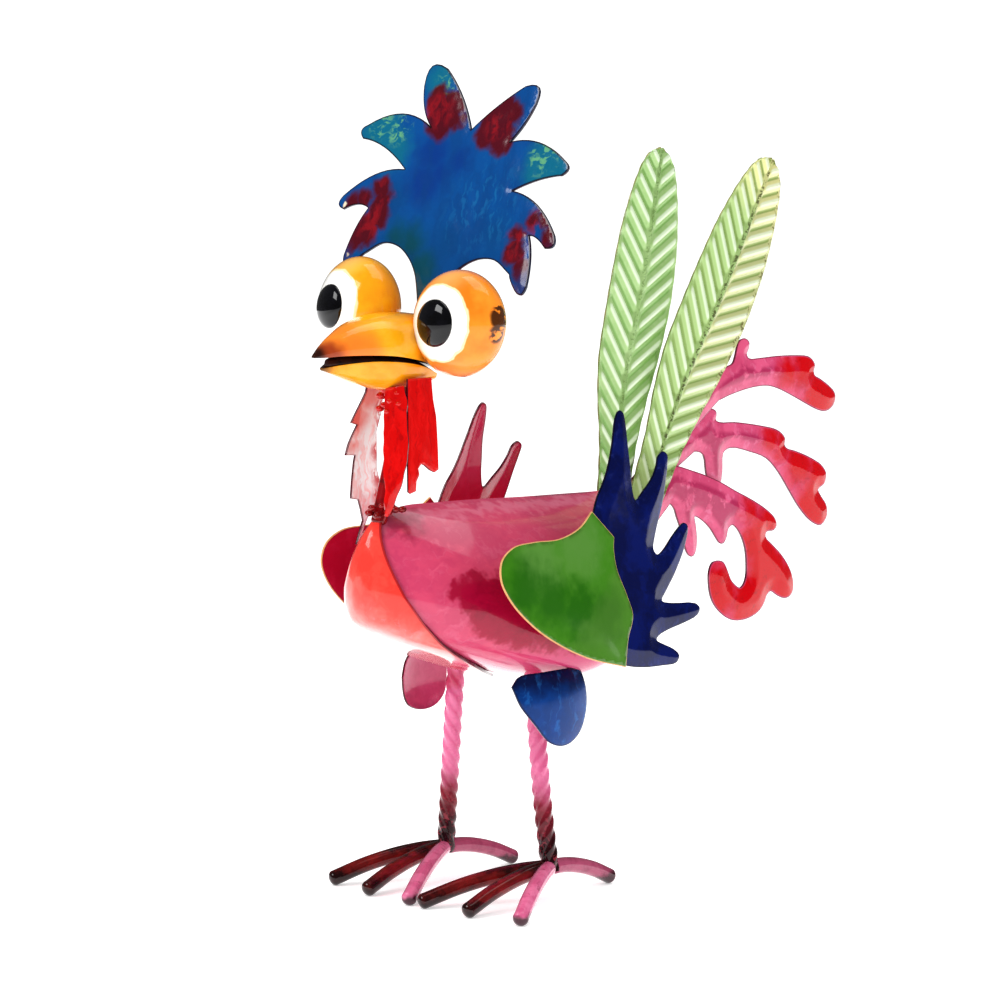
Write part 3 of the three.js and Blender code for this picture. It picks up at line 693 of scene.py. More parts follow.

# %% [markdown]
# The beak is two formed scoops of sheet that meet at the corners of the mouth. The upper
# one is a dome that falls to a sharp tip. The lower one hangs like a spoon. Both are lofts
# whose rings run from the back of the mouth to the tip, and the open side of each is painted
# dark brown as shade. A third one, thin and painted the same shade, stands for the shadowed
# gap between them.

# %% Beak
BEAK_UPPER = [
    (8, 16, -24.5, 0.5),
    (-10, 18, -19.6, 2),
    (-26, 17, -17, 1),
    (-40, 12.5, -16.7, -2.5),
    (-52, 7.2, -17.3, -8),
    (-60, 3.5, -18.2, -13),
    (-65, 1, -18.5, -17.2),
]
BEAK_LOWER = [
    (6, 14, -26.8, -32),
    (-6, 17, -22.7, -34.5),
    (-20, 17.5, -20.2, -35.6),
    (-36, 12.5, -19.8, -32.5),
    (-50, 6, -21.6, -27.8),
    (-59, 1.2, -23.6, -24.8),
]
MOUTH = [
    (4, 13, -26, -24.4),
    (-6, 15, -23, -20),
    (-20, 15, -20.6, -17.4),
    (-36, 10.5, -20, -16.9),
    (-48, 5.5, -21.4, -17.5),
    (-56, 1.5, -22.8, -19.5),
]
BEAK_POINTS = 41


def beak_half(name, stations, curve, paint, node):
    rings = []
    for y, half, mouth, top in spline(stations, 9):
        ring = []
        for j in range(BEAK_POINTS):
            turn = math.pi * j / (BEAK_POINTS - 1)
            across, up = math.cos(turn), math.sin(turn)
            ring.append(on_head(math.copysign(abs(across) ** curve * half, across), y,
                                mouth + up ** curve * (top - mouth)))
        rings.append(ring)
    piece = new_object(name, *skin_of(rings), [paint, mouth_shade_paint])
    for face in piece.data.polygons:
        points = [v % BEAK_POINTS for v in face.vertices]
        if len(points) == 4 and 0 in points and BEAK_POINTS - 1 in points:
            face.material_index = 1
    face_outward(piece)
    round_edges(piece, "rolled_edge", 0.5, segments=3, degrees=50, paint=0)
    apply_modifiers(piece)
    settle(piece, "gold", node)


# painted shade: the dark brown of the mouth's gap and of the scoops' open sides
mouth_shade_paint = lacquer("painted_shade_in_mouth", "#3a1408", [("#160604", clouds(6), 0.7)],
                      rough=0.35, coat=0.5)
beak_upper_paint = lacquer("maize_lacquer_on_steel", "#f8ac1a", [
    ("#fcc040", clouds(12, 0.45, 0.65), 0.45),
    ("#f0862a", spots([(on_head(0, -65, -18), 30)], 10), 0.85),
    ("#ef7a2a", spots([(on_head(12, -44, -16), 11), (on_head(10, -56, -17), 9)], 6), 0.7),
    ("#8a2a18", spots([(on_head(6, -60, -18), 9), (on_head(2, -62, -14), 5)], 4), 0.85),
    ("#1d0d0c", spots([(on_head(0, -66, -18), 6.5)], 3), 0.95),
    ("#7a2a10", spots([(on_head(18, -4, -18), 6), (on_head(15, -12, -8), 3)], 4), 0.7),
], rough=0.2, warp_mm=1.2, dent=0.12)
beak_lower_paint = lacquer("saffron_lacquer_on_steel", "#f09c12", [
    ("#fbc040", clouds(12, 0.45, 0.65), 0.45),
    ("#3a2208", spots([(on_head(0, -60, -24), 5)], 3), 0.85),
], rough=0.2, warp_mm=1.5, dent=0.12)
beak_half("beak_upper_scoop", BEAK_UPPER, 0.75, beak_upper_paint, "beak_upper")
beak_half("beak_lower_scoop", BEAK_LOWER, 0.8, beak_lower_paint, "beak_lower")
beak_half("mouth_gap_shade", MOUTH, 0.8, mouth_shade_paint, "beak_lower")

# %% [markdown]
# The crest is one flat plate that leans back behind the eyes. Eight tongues leave its rim,
# each drawn from its tip and its foot with a pair of arcs, and two big bites clear the eyes.
# Its paint is the richest on the bird: cobalt brushed upward, teal at some tips and old
# maroon at the roots of others.

# %% Crest shape
CREST_LEAN = math.radians(16.5)
CREST_BACK, CREST_RISE = 8.5, 5


def on_crest(u, v, w):
    y = v * math.sin(CREST_LEAN) - w * math.cos(CREST_LEAN) + CREST_BACK
    z = v * math.cos(CREST_LEAN) + w * math.sin(CREST_LEAN) + CREST_RISE
    return on_head(u, y, z)


def arc(a, b, c, count=10):
    a, b, c = (np.array(p, float) for p in (a, b, c))
    return [tuple((1 - t) ** 2 * a + 2 * t * (1 - t) * b + t * t * c)
            for t in np.linspace(0, 1, count + 1)[1:]]


def tongue(start, tip, foot, swell, arch, round_end):
    start, tip, foot = (np.array(p, float) for p in (start, tip, foot))
    middle = (start + foot) / 2
    length = np.linalg.norm(tip - middle)
    along = (tip - middle) / length
    across = np.array((-along[1], along[0]))
    hand = math.copysign(1, (start - middle) @ across)
    lift = np.array((0, arch * length))
    first = tip - along * round_end + across * hand * round_end
    second = tip - along * round_end - across * hand * round_end
    up = (start + first) / 2 + across * hand * swell * length + lift
    down = (second + foot) / 2 - across * hand * swell * length + lift
    crown = tip + along * round_end * 0.75
    return arc(start, up, first) + arc(first, crown, second, 6) + arc(second, down, foot)


CREST_TONGUES = [
    ((61, 11.5), (56, 41), 0.12, 0.1, 3.6),
    ((73.5, 37.5), (38, 62), 0.1, 0.2, 4),
    ((70, 76), (28, 86), 0.08, 0.16, 3.8),
    ((37.5, 115), (0, 90), 0.07, 0, 6.5),
    ((-38.5, 121.5), (-28, 89.5), 0.11, 0, 8),
    ((-76, 84), (-38, 66.5), 0.08, 0.22, 3.8),
    ((-78, 44.5), (-56, 44.5), 0.07, 0.2, 3.8),
    ((-62.5, 14), (-51, 20.5), 0.12, 0.1, 3.6),
]
BITE_LEFT = [(4.8, 0), (7.2, 6), (12, 15), (18.8, 21.8), (27, 26), (38, 26.8), (50, 21)]
BITE_RIGHT = [(-51, 20.5), (-39, 27.6), (-28, 27), (-19, 22), (-12.4, 15.2), (-7.4, 6), (-4.8, 0)]


def crest_outline():
    line = [(5, -10)] + [tuple(p) for p in spline(BITE_LEFT, 5)]
    for tip, foot, swell, arch, round_end in CREST_TONGUES:
        line += tongue(line[-1], tip, foot, swell, arch, round_end)
    line += [tuple(p) for p in spline(BITE_RIGHT, 5)][1:]
    line.append((-5, -10))
    return line


print("points on the crest's rim:", len(crest_outline()))

# %% [markdown]
# The sheet waves by a millimetre and falls off a little at its cut rim. Every mark of its
# paint is given by a place on the plate and a radius, and the clouds break the marks up into
# brush strokes. The rim comes last: there the paint ran thin and dark.

# %% Crest paint and crest


def crest_lift(u, v, d):
    waves = noise.noise(Vector((u * 0.035, v * 0.035, 2.0))) * 0.9
    return waves * smooth_step(0, 12, d) + 0.4 * smooth_step(0, 5, d)


MAROON = [(-27, 103, 8.5), (-16, 101, 8.5), (-22, 94, 9.5), (-20, 88.5, 6.5), (-12.5, 94, 6.5),
          (19, 102, 7.5), (25, 100, 6.5), (13, 95, 8.5), (12, 88, 8), (20, 92, 9.5), (22, 85, 7.5),
          (-68, 46.5, 5), (-60, 49, 6), (-50, 55, 6.5), (-47, 48, 7), (-47, 41.5, 8),
          (-53, 33.5, 8.5), (-58, 27, 7), (64.7, 51.2, 6), (71, 42.6, 7), (69, 36, 4.5),
          (57, 48.6, 4.5), (49.5, 40.4, 5.5), (50, 32, 7), (56, 25, 6)]


def crest_spots(places, soft):
    return spots([(on_crest(u, v, 0), radius) for u, v, radius in places], soft)


cobalt_lacquer = lacquer("cobalt_lacquer_on_steel", "#024e8e", [
    ("#042f7c", crest_spots([(-21, 76, 10), (-22, 60, 11), (-13, 66, 8), (-2, 74, 7)], 7), 0.7),
    ("#04406e", crest_spots([(34, 40, 9), (-40, 50, 9), (4, 34, 9)], 9), 0.5),
    ("#063f78", clouds(16, 0.42, 0.6, (1.4, 1, 0.45)), 0.5),
    ("#1a72a6", both(clouds(6, 0.52, 0.66, (1.9, 1, 0.5)),
                     crest_spots([(24, 54, 20), (14, 44, 12)], 12)), 0.5),
    ("#064c55", crest_spots([(-20, 30, 9), (-9, 17, 10), (-30, 32, 7), (-5, 8, 8)], 7), 0.85),
    ("#0a6c80", crest_spots([(-62, 84, 14), (-49, 76, 11), (56, 76, 15), (-30, 114, 9),
                             (-27, 120, 8)], 6), 0.8),
    ("#6fae78", both(clouds(5, 0.5, 0.62, (1, 1, 2.0)),
                     crest_spots([(-62, 89, 8), (-49, 86, 7), (52, 81, 9),
                                  (-24, 111, 7)], 4)), 0.75),
    ("#560410", crest_spots(MAROON, 2.5), 0.97),
    ("#9c1622", both(clouds(8, 0.46, 0.6, (1.3, 1, 0.6)),
                     crest_spots([(-50, 50, 9), (-50, 38, 9), (62, 48, 8), (50, 36, 8),
                                  (-24, 98, 9), (18, 93, 8)], 3)), 0.55),
    ("#3a2a58", crest_spots([(60, 18, 6), (74, 36, 4), (-64, 20, 5)], 4), 0.6),
    ("#f0e0c0", crest_spots([(-73, 45, 1.3), (-61, 19, 1.2)], 0.6), 0.9),
    ("#1c0610", carried(1.1, 0.35), 0.9),
], rough=0.18, warp_mm=2.2, dent_mm=7, dent=0.5)
blue_edge = lacquer("blue_black_cut_edge", "#0a1c3a", [("#2a0a16", clouds(7), 0.7)], rough=0.3)
crest = cut_sheet("crest_plate", [crest_outline()], crest_lift, on_crest,
                  [cobalt_lacquer, cobalt_lacquer, blue_edge], step=1.5, gauge=1.4)
settle(crest, "blue", "crest")

# %% [markdown]
# Each wing is two pieces: a smooth plate like an artist's palette and, under its rear edge,
# a fan of five creased feathers. Outside they are green and navy. Inside both are raspberry,
# which shows on the far side. The plate's cut edge was left a bare tan.

# %% Wing shapes
WING_BASE, WING_LEAN, WING_FLARE = 57.5, -0.17, -0.02
WING_MIDDLE = (10, 190)


def wing_across(y, z):
    return WING_BASE + WING_LEAN * (z - WING_MIDDLE[1]) + WING_FLARE * (y - WING_MIDDLE[0])


def on_side(side, across):
    def where(u, v, w):
        return bird(side * (across(u, v) + w), u, v)
    return where


WING_FRONT = [(12.6, 198), (2, 190.8), (-13.7, 186.4), (-32.2, 186.4), (-48.5, 185), (-58, 179),
              (-60, 170), (-55, 159.7), (-43, 147.8), (-26.7, 137.2), (-3.7, 127), (24.4, 119.6)]
WING_REAR = [(24.4, 119.6), (28.8, 134), (32.5, 140), (34.3, 145), (31.5, 155), (26.7, 168),
             (26, 178), (27.4, 184)]
WING_FAN = [
    (14, 190), (20.2, 203.8), (24.5, 209.6), (29.2, 217.4), (35.1, 231.3), (39.3, 242.3),
    (42.8, 246.2), (45.8, 245.1), (46.7, 239.9), (46.4, 227.6), (46.9, 217.3), (47.3, 207),
    (49.3, 200.7), (55.9, 205.4), (62.8, 211.2), (67.2, 217.1), (69.3, 221.6), (73.6, 224),
    (77, 221.9), (75.9, 216.5), (73, 208.4), (69.3, 198.3), (65.7, 190.3), (62.2, 182.3),
    (60.1, 175.2), (62.5, 172.1), (67, 174.1), (74, 180.3), (80, 185), (83.7, 186.8), (86.7, 185),
    (83.6, 176.4), (79.4, 169.5), (72.6, 160.7), (66.3, 154), (61.9, 148.8), (69.1, 147),
    (85.5, 145.5), (88.4, 142.8), (86, 139.7), (75.3, 136.6), (63.2, 134.2), (55.2, 131.6),
    (53.7, 129.7), (57.7, 127.4), (64.5, 124.3), (68, 120.8), (65.1, 117.5), (54.8, 117.1),
    (38.6, 117.8), (24.6, 121), (14, 130), (12, 160),
]


def plate_outline():
    return [tuple(p) for p in spline(WING_FRONT, 8)] + [tuple(p) for p in spline(WING_REAR, 6)][1:]


def smooth_loop(points, per_span=3):
    closed = list(points) + [points[0]]
    return [tuple(p) for p in spline(closed, per_span)][:-1]


print("wing plate rim points:", len(plate_outline()), "fan:", len(smooth_loop(WING_FAN)))

# %% [markdown]
# The plate bows out as if it was pressed over a pad. The fan starts a sheet's thickness under
# it and comes out to its level toward the tips, and each feather has a fold along its middle.
# The green of the near wing is painted pale on top, deep on a band below it and lighter
# again at its foot: painted light and shade of the bowed plate. The navy is almost black,
# with a few lighter strokes along the feathers.

# %% Wing paint and wings
WING_BOW, WING_FOLD, FOLD_REACH, SHEET = 1.3, 2.6, 8.5, 1.2
FAN_HEART = (26, 158)
moss_lacquer = lacquer("moss_green_lacquer_on_steel", "#3f7c16", [
    ("#4c8228", clouds(17, 0.42, 0.6), 0.5),
    # painted light and shade of the bowed near plate: pale on top, a deep band, lighter at its foot
    ("#628c48", bird_spots([(60, -30, 178, 16), (58, 0, 182, 16)], 10), 0.55),
    ("#1f5e04", bird_spots([(62, -44, 166, 13), (63, -26, 158, 13), (64, -6, 150, 14),
                            (64, 12, 146, 13)], 8), 0.85),
    ("#557f34", sweep(bird(66, -20, 140), bird(68, -10, 128)), 0.5),
    ("#3c5a20", both(carried(3.0, 0.8), clouds(8, 0.4, 0.6)), 0.6),
], rough=0.17, warp_mm=4, dent_mm=12, dent=0.3)
raspberry_lacquer = lacquer("raspberry_lacquer_on_steel", "#b40c36", [
    ("#c02248", clouds(15, 0.45, 0.62), 0.6),
    ("#c03c62", sweep(bird(0, 0, 196), bird(0, 0, 214)), 0.6),
    ("#5a0820", carried(1.2, 0.4), 0.6),
], rough=0.2, warp_mm=3)
tan_edge = lacquer("bare_tan_cut_edge", "#dba974", [("#b98552", clouds(5), 0.4)],
                   rough=0.4, coat=0.3)
navy_lacquer = lacquer("navy_lacquer_on_steel", "#050f44", [
    ("#081a62", clouds(14, 0.42, 0.6), 0.7),
    ("#34448c", both(clouds(5, 0.54, 0.66, (1, 1.4, 0.5)), carried(5.0, 1.5)), 0.3),
    ("#02040c", carried(0.8, 0.3), 0.7),
], rough=0.16, coat=0.6, warp_mm=3, dent_mm=8, dent=0.3)
navy_edge = lacquer("navy_cut_edge", "#040a26", [("#1a2150", clouds(6), 0.5)], rough=0.3)


def plate_lift(u, v, d):
    bow = WING_BOW * smooth_step(0, 26, d)
    return bow + noise.noise(Vector((u * 0.03, v * 0.03, 7.0))) * 0.8


def feather_lift(u, v, d):
    reach = smooth_step(20, 75, math.dist((u, v), FAN_HEART))
    under = -(SHEET + 0.3) - WING_FOLD
    return under * (1 - reach) + WING_FOLD * min(1.0, d / FOLD_REACH)


def wing(word, side):
    where = on_side(side, wing_across)
    plate = cut_sheet("wing_palette_" + word, [plate_outline()], plate_lift, where,
                      [moss_lacquer, raspberry_lacquer, tan_edge], step=1.9, flip=side < 0,
                      edge=0.45, bare_edge=True)
    settle(plate, "green", "wing_plate_" + word)
    fan = cut_sheet("wing_fan_" + word, [smooth_loop(WING_FAN)], feather_lift, where,
                    [navy_lacquer, raspberry_lacquer, navy_edge if side > 0 else seam_edge],
                    step=1.3, flip=side < 0)
    settle(fan, "navy", "wing_feathers_" + word, angle=50)


for side_word, side_sign in SIDES.items():
    wing(side_word, side_sign)

# %% [markdown]
# The thighs are two small domed plates outside the belly, blue without and pink within.
# They are cut like a rounded shovel and dished over a stump, so their height falls away
# from the middle.

# %% Thighs
THIGH_DOME = 6


def thigh(word, side, outline, middle, reach, across, paints):
    def dish(u, v):
        away = math.hypot((u - middle[0]) / reach[0], (v - middle[1]) / reach[1])
        return across + THIGH_DOME * (1 - min(1.2, away) ** 2)
    shape = [tuple(p) for part in outline for p in spline(part, 7)[:-1]]
    piece = cut_sheet("thigh_dish_" + word, [shape], lambda u, v, d: 0.0, on_side(side, dish),
                      paints, step=1.7, flip=side < 0)
    settle(piece, "blue" if side > 0 else "pink", "thigh_" + word)


ocean_lacquer = lacquer("ocean_blue_lacquer_on_steel", "#033f86", [
    ("#03336f", clouds(12, 0.42, 0.6), 0.6),
    ("#081440", sweep(bird(50, 0, 104), bird(50, 0, 116)), 0.95),
    ("#2c7cc8", clouds(5, 0.54, 0.68, (1, 1, 0.35)), 0.35),
    ("#061030", carried(1.2, 0.4), 0.7),
], rough=0.25, coat=0.2, warp_mm=3, dent=0.35)
thigh_pink = lacquer("thigh_pink_lacquer_on_steel", "#cc527c", [
    ("#b83c68", clouds(10, 0.42, 0.6), 0.5),
    ("#8a2c54", sweep(bird(-46, 0, 94), bird(-46, 0, 87)), 0.7),
], rough=0.2, warp_mm=2)
thigh("left", 1,
      [[(-33, 113.5), (-28, 118), (-15, 119), (5, 119), (16, 118)],
       [(16, 118), (18.5, 108), (18, 97), (14.5, 86), (8, 81.3), (0, 80.5), (-10.8, 84),
        (-22, 94.4), (-29.8, 104), (-33, 113.5)]],
      (-5, 100), (30, 24), 45.5, [ocean_lacquer, thigh_pink, blue_edge])
thigh("right", -1,
      [[(-18, 107), (-15.5, 117), (-9, 121), (2, 121), (13, 119)],
       [(13, 119), (15, 106), (13, 96), (7, 90.5), (-1, 88.6), (-10, 90), (-16, 94), (-18, 107)]],
      (-1, 105), (24, 22), 43.5, [ocean_lacquer, thigh_pink, seam_edge])

# %% [markdown]
# The legs are square bar twisted hot, so four soft edges wind round each one. The section
# is a rounded square that turns by a full circle every 32 mm on the way down. The paint
# goes from rose at the belly to maroon and almost black at the ankle. The back of each
# leg is painted a darker rose as shade, so its front reads as lit.

# %% Legs
LEG_BAR, LEG_TURN = 9.6, 32.0
# the bar's section as shares of its width: the mean reach and what a corner adds to it
LEG_REACH, LEG_CORNER = 0.468, 0.04
LEG_RINGS, LEG_SIDES = 170, 24
ANKLE = (36.8, 4, 14.5)
LEG_LINE = [(26, 2, 124), (29, 2, 90), (32.5, 2.5, 52), ANKLE]


def frame_along(line):
    way = np.gradient(line, axis=0)
    return way / np.linalg.norm(way, axis=1)[:, None]


def leg_rings(side):
    line = evenly(spline(LEG_LINE, 12), LEG_RINGS)
    ways = frame_along(line)
    length = np.linalg.norm(np.diff(line, axis=0), axis=1).sum()
    rings = []
    for i, (centre, along) in enumerate(zip(line, ways)):
        u = np.cross((0, 1, 0), along)
        u /= np.linalg.norm(u)
        v = np.cross(along, u)
        turn0 = 2 * math.pi * (length * i / (len(line) - 1)) / LEG_TURN
        ring = []
        for j in range(LEG_SIDES):
            turn = 2 * math.pi * j / LEG_SIDES
            corner = LEG_REACH + LEG_CORNER * math.cos(4 * turn)
            outward = u * math.cos(turn + turn0) + v * math.sin(turn + turn0)
            p = centre + outward * corner * LEG_BAR
            ring.append(bird(side * p[0], p[1], p[2]))
        rings.append(ring)
    return rings


leg_lacquer = lacquer("rose_to_black_lacquer_on_bar", "#e07ca4", [
    # painted shade: a darker rose down the back of each leg, so the front reads as lit
    ("#c44a78", bird_spots([(s * (27 + 5 * h), 6, 120 - 100 * h, 6) for s in (1, -1)
                            for h in (0, 0.12, 0.24, 0.36, 0.48)], 4), 0.45),
    ("#c0487a", clouds(11, 0.45, 0.6), 0.4),
    ("#b81838", bird_spots([(s * 26, -2, 108, 6) for s in (1, -1)], 4), 0.6),
    ("#7a1622", sweep(bird(0, 0, 66), bird(0, 0, 44)), 0.95),
    ("#160507", sweep(bird(0, 0, 50), bird(0, 0, 26)), 0.94),
    ("#a83c4c", both(clouds(4, 0.54, 0.64), sweep(bird(0, 0, 60), bird(0, 0, 30))), 0.6),
], rough=0.2, coat=0.6, warp_mm=4)
for side_word, side_sign in SIDES.items():
    leg = new_object("twisted_leg_" + side_word, *skin_of(leg_rings(side_sign)), [leg_lacquer])
    face_outward(leg)
    settle(leg, "pink", "leg_" + side_word, angle=60)

# %% [markdown]
# Each foot is four rods that leave the ankle, arch and droop to rounded ends on the floor.
# A rod is a circle carried along a line, with its last rings closing like the end of a
# bullet.

# %% Toes
TOE_ROD = 8.0
TOE_TIPS = {"middle": (35.2, -54), "back": (34.2, 52), "inner": (5, -55), "outer": (65.5, -49)}
TOE_HEIGHTS = [(0.075, 16.5), (0.22, 16), (0.45, 14), (0.72, 10), (1.0, 4)]
ROD_SIDES, ROD_END = 24, 0.7


def rod_rings(line, radius, side=1):
    ways = frame_along(line)
    rings = []

    def ring(centre, along, size):
        u = np.cross((0, 0, 1.0) if abs(along[0]) > 0.9 else (1.0, 0, 0), along)
        u /= np.linalg.norm(u)
        v = np.cross(along, u)
        points = []
        for j in range(ROD_SIDES):
            turn = 2 * math.pi * j / ROD_SIDES
            p = centre + (u * math.cos(turn) + v * math.sin(turn)) * size
            points.append(bird(side * p[0], p[1], p[2]))
        return points

    domes = [(math.sin(a), math.cos(a)) for a in np.radians((80, 62, 44, 26, 10))]
    for out, size in domes:
        rings.append(ring(line[0] - ways[0] * out * radius * ROD_END, ways[0], size * radius))
    for centre, along in zip(line, ways):
        rings.append(ring(centre, along, radius))
    for out, size in domes[::-1]:
        rings.append(ring(line[-1] + ways[-1] * out * radius * ROD_END, ways[-1], size * radius))
    return rings


def toe_line(tip):
    x, y = tip
    points = [(ANKLE[0] + (x - ANKLE[0]) * t, ANKLE[1] + (y - ANKLE[1]) * t, z)
              for t, z in TOE_HEIGHTS]
    return evenly(spline(points, 10), 40)


toe_lacquer = lacquer("brown_red_to_black_lacquer_on_rod", "#7a1c1c", [
    ("#5a1414", clouds(7, 0.42, 0.56), 0.7),
    ("#1a0a0a", sweep(bird(0, 0, 14.5), bird(0, 0, 19)), 0.85),
    ("#100607", sweep(bird(0, 0, 12), bird(0, 0, 5)), 0.92),
], rough=0.16, warp_mm=3)
pink_toe_lacquer = lacquer("pink_lacquer_on_rod", "#d9789c", [
    ("#c0507c", clouds(9, 0.45, 0.6), 0.6),
    ("#7c2440", clouds(5, 0.6, 0.7), 0.5),
    ("#1a080c", sweep(bird(0, 0, 7.5), bird(0, 0, 4)), 0.92),
], rough=0.18, warp_mm=2)
mauve_toe_lacquer = lacquer("mauve_lacquer_on_rod", "#a8506e", [
    ("#8a3654", clouds(8, 0.45, 0.6), 0.6),
    ("#240a12", sweep(bird(0, 0, 8), bird(0, 0, 4)), 0.92),
], rough=0.18, warp_mm=2)
TOE_PAINTS = {"left_outer": pink_toe_lacquer, "right_inner": pink_toe_lacquer,
              "left_back": mauve_toe_lacquer, "right_back": mauve_toe_lacquer}
for side_word, side_sign in SIDES.items():
    for toe_word, tip in TOE_TIPS.items():
        key = side_word + "_" + toe_word
        rings = rod_rings(toe_line(tip), TOE_ROD / 2, side_sign)
        toe = new_object("toe_rod_" + key, *skin_of(rings), [TOE_PAINTS.get(key, toe_lacquer)])
        face_outward(toe)
        settle(toe, "maroon", "toe_" + key, angle=60)

# %% [markdown]
# The neck is a plain rod. Ragged strips of sheet hang round it like a rooster's hackles:
# one red plate on the near side, a red strip in front, and on the far side a pale one that
# runs out in a long drip over the breast. Its near-white is a painted highlight, the glare of
# the light on its gloss, with coral and red showing at its top and in dashes.

# %% Neck and hackles
NECK_LINE, NECK_RADIUS = [(0, -61, 258), (0, -80, 196)], 4.0
HACKLE_TOP, HACKLE_INSET, HACKLE_FLARE = 268, 16.5, 0.06


def hackle_across(u, v):
    return HACKLE_INSET + (HACKLE_TOP - v) * HACKLE_FLARE


def hackle_lift(u, v, d):
    return noise.noise(Vector((u * 0.09, v * 0.02, 3.0))) * 1.2


cherry_lacquer = lacquer("cherry_lacquer_on_steel", "#c80404", [
    ("#e01414", clouds(7, 0.48, 0.62, (1, 2.2, 0.35)), 0.6),
    ("#8c0008", clouds(5, 0.56, 0.68, (1, 2.2, 0.35)), 0.5),
], rough=0.14, warp_mm=2, dent=0.4)
# painted highlight: the plate's near-white and white streaks are glare of the light painted into
# the colour
glare_pink_lacquer = lacquer("pink_lacquer_with_painted_glare", "#ffd2d0", [
    ("#ffffff", clouds(7, 0.40, 0.52, (1, 2.2, 0.35)), 0.9),
    ("#ee6a5e", bird_spots([(-17, -73, 262, 13), (-18, -78, 246, 8), (-19, -80, 232, 4)], 5), 0.9),
    ("#f09a98", clouds(4, 0.6, 0.7, (1, 2.2, 0.3)), 0.35),
    ("#d01020", both(bird_spots([(-18, -60, z, 6) for z in (250, 240, 228, 216, 206)], 3),
                     clouds(3, 0.4, 0.5, (1, 2.2, 0.3))), 0.9),
    ("#7a1626", carried(0.7, 0.25), 0.6),
], rough=0.16, warp_mm=2, dent=0.4)
rod_lacquer = lacquer("dark_red_lacquer_on_rod", "#920812", [("#3c0408", clouds(5), 0.6)],
                      rough=0.2)

neck = new_object("neck_bar", *skin_of(rod_rings(evenly(NECK_LINE, 24), NECK_RADIUS)),
                  [rod_lacquer])
face_outward(neck)
settle(neck, "maroon", "neck_rod", angle=60)

HACKLE_LEFT = [(-77, 266), (-60.7, 266), (-60.1, 255.5), (-58.7, 247), (-58.8, 234), (-59, 221.1),
               (-61.5, 219.9), (-64.4, 221.1), (-68.5, 223.8), (-70.7, 224.5), (-73, 222.5),
               (-72.5, 219.3), (-74.6, 216.3), (-75.2, 211.6), (-79, 210.6), (-80.4, 211.5),
               (-80, 225), (-78.5, 241.7)]
HACKLE_RIGHT = [(-59.8, 266), (-70.5, 266), (-72.5, 257.8), (-77.7, 249.5), (-81.4, 243.2),
                (-77.3, 242), (-80.3, 236.8), (-82.8, 232.6), (-84.7, 227.4), (-77.6, 227),
                (-78.2, 223.8), (-79.1, 214.2), (-79.7, 205.7), (-74.5, 204.8), (-72.5, 199.8),
                (-70.7, 194.2), (-72.6, 189), (-75.3, 182.7), (-73.3, 182.3), (-69.1, 191.9),
                (-65.7, 199.3), (-62.9, 202.9), (-55.3, 202.9), (-54.9, 208.3), (-60.4, 213),
                (-63, 219.7), (-63.2, 228.3), (-64, 238.1), (-61.2, 247.6)]
left_hackle = cut_sheet("hackle_plate_left", [HACKLE_LEFT], hackle_lift,
                        on_side(1, hackle_across),
                        [cherry_lacquer, cherry_lacquer, seam_edge], step=1.2)
settle(left_hackle, "red", "hackle_left")
right_hackle = cut_sheet("hackle_plate_right", [HACKLE_RIGHT], hackle_lift,
                         on_side(-1, hackle_across),
                         [glare_pink_lacquer, glare_pink_lacquer, seam_edge], step=1.2, flip=True)
settle(right_hackle, "pale", "hackle_right")

# %% [markdown]
# The front strip leans out over the breast, so it is carried along a line in space. It has a
# centre, a width that changes on the way, and a shallow fold.

# %% Strips carried along a line
STRIP_LINE = [(11, -79, 262), (14, -82, 240), (15.5, -84.5, 220), (13, -87.5, 200)]
STRIP_NORMAL = np.array((0.25, -0.96, -0.1))


def ribbon(name, line, normal, half, fold, paints, columns=8):
    ways = frame_along(line)
    verts, faces = [], []
    for i, (centre, along) in enumerate(zip(line, ways)):
        side = np.cross(along, normal)
        side /= np.linalg.norm(side)
        for j in range(columns + 1):
            s = 2 * j / columns - 1
            wide = half(i / (len(line) - 1), s)
            p = centre + side * s * wide + normal * fold * (1 - abs(s))
            verts.append(bird(*p))
    for i in range(len(line) - 1):
        for j in range(columns):
            a = i * (columns + 1) + j
            faces.append((a, a + columns + 1, a + columns + 2, a + 1))
    piece = new_object(name, verts, faces, paints)
    give_gauge(piece, SHEET)
    round_edges(piece, "worn_edge", 0.2)
    apply_modifiers(piece)
    return piece


def ragged(amount, pitch, seed):
    def shift(t, s):
        return amount * noise.noise(Vector((t * pitch, s * 1.5, seed)))
    return shift


front_rag = ragged(1.2, 9, 4.0)


def strip_half(t, s):
    return 5.6 + 1.4 * math.sin(t * math.pi) - 5.0 * t ** 3 + front_rag(t, s)


front_strip = ribbon("hackle_strip_front", evenly(spline(STRIP_LINE, 10), 44), STRIP_NORMAL,
                     strip_half, 1.2, [cherry_lacquer, seam_edge])
settle(front_strip, "red", "hackle_front")

# %% [markdown]
# Blobs of weld, painted over with the rest, hold the strips to the neck: a cluster under
# the beak and another where the neck meets the body. Each is a small ball pressed flat.

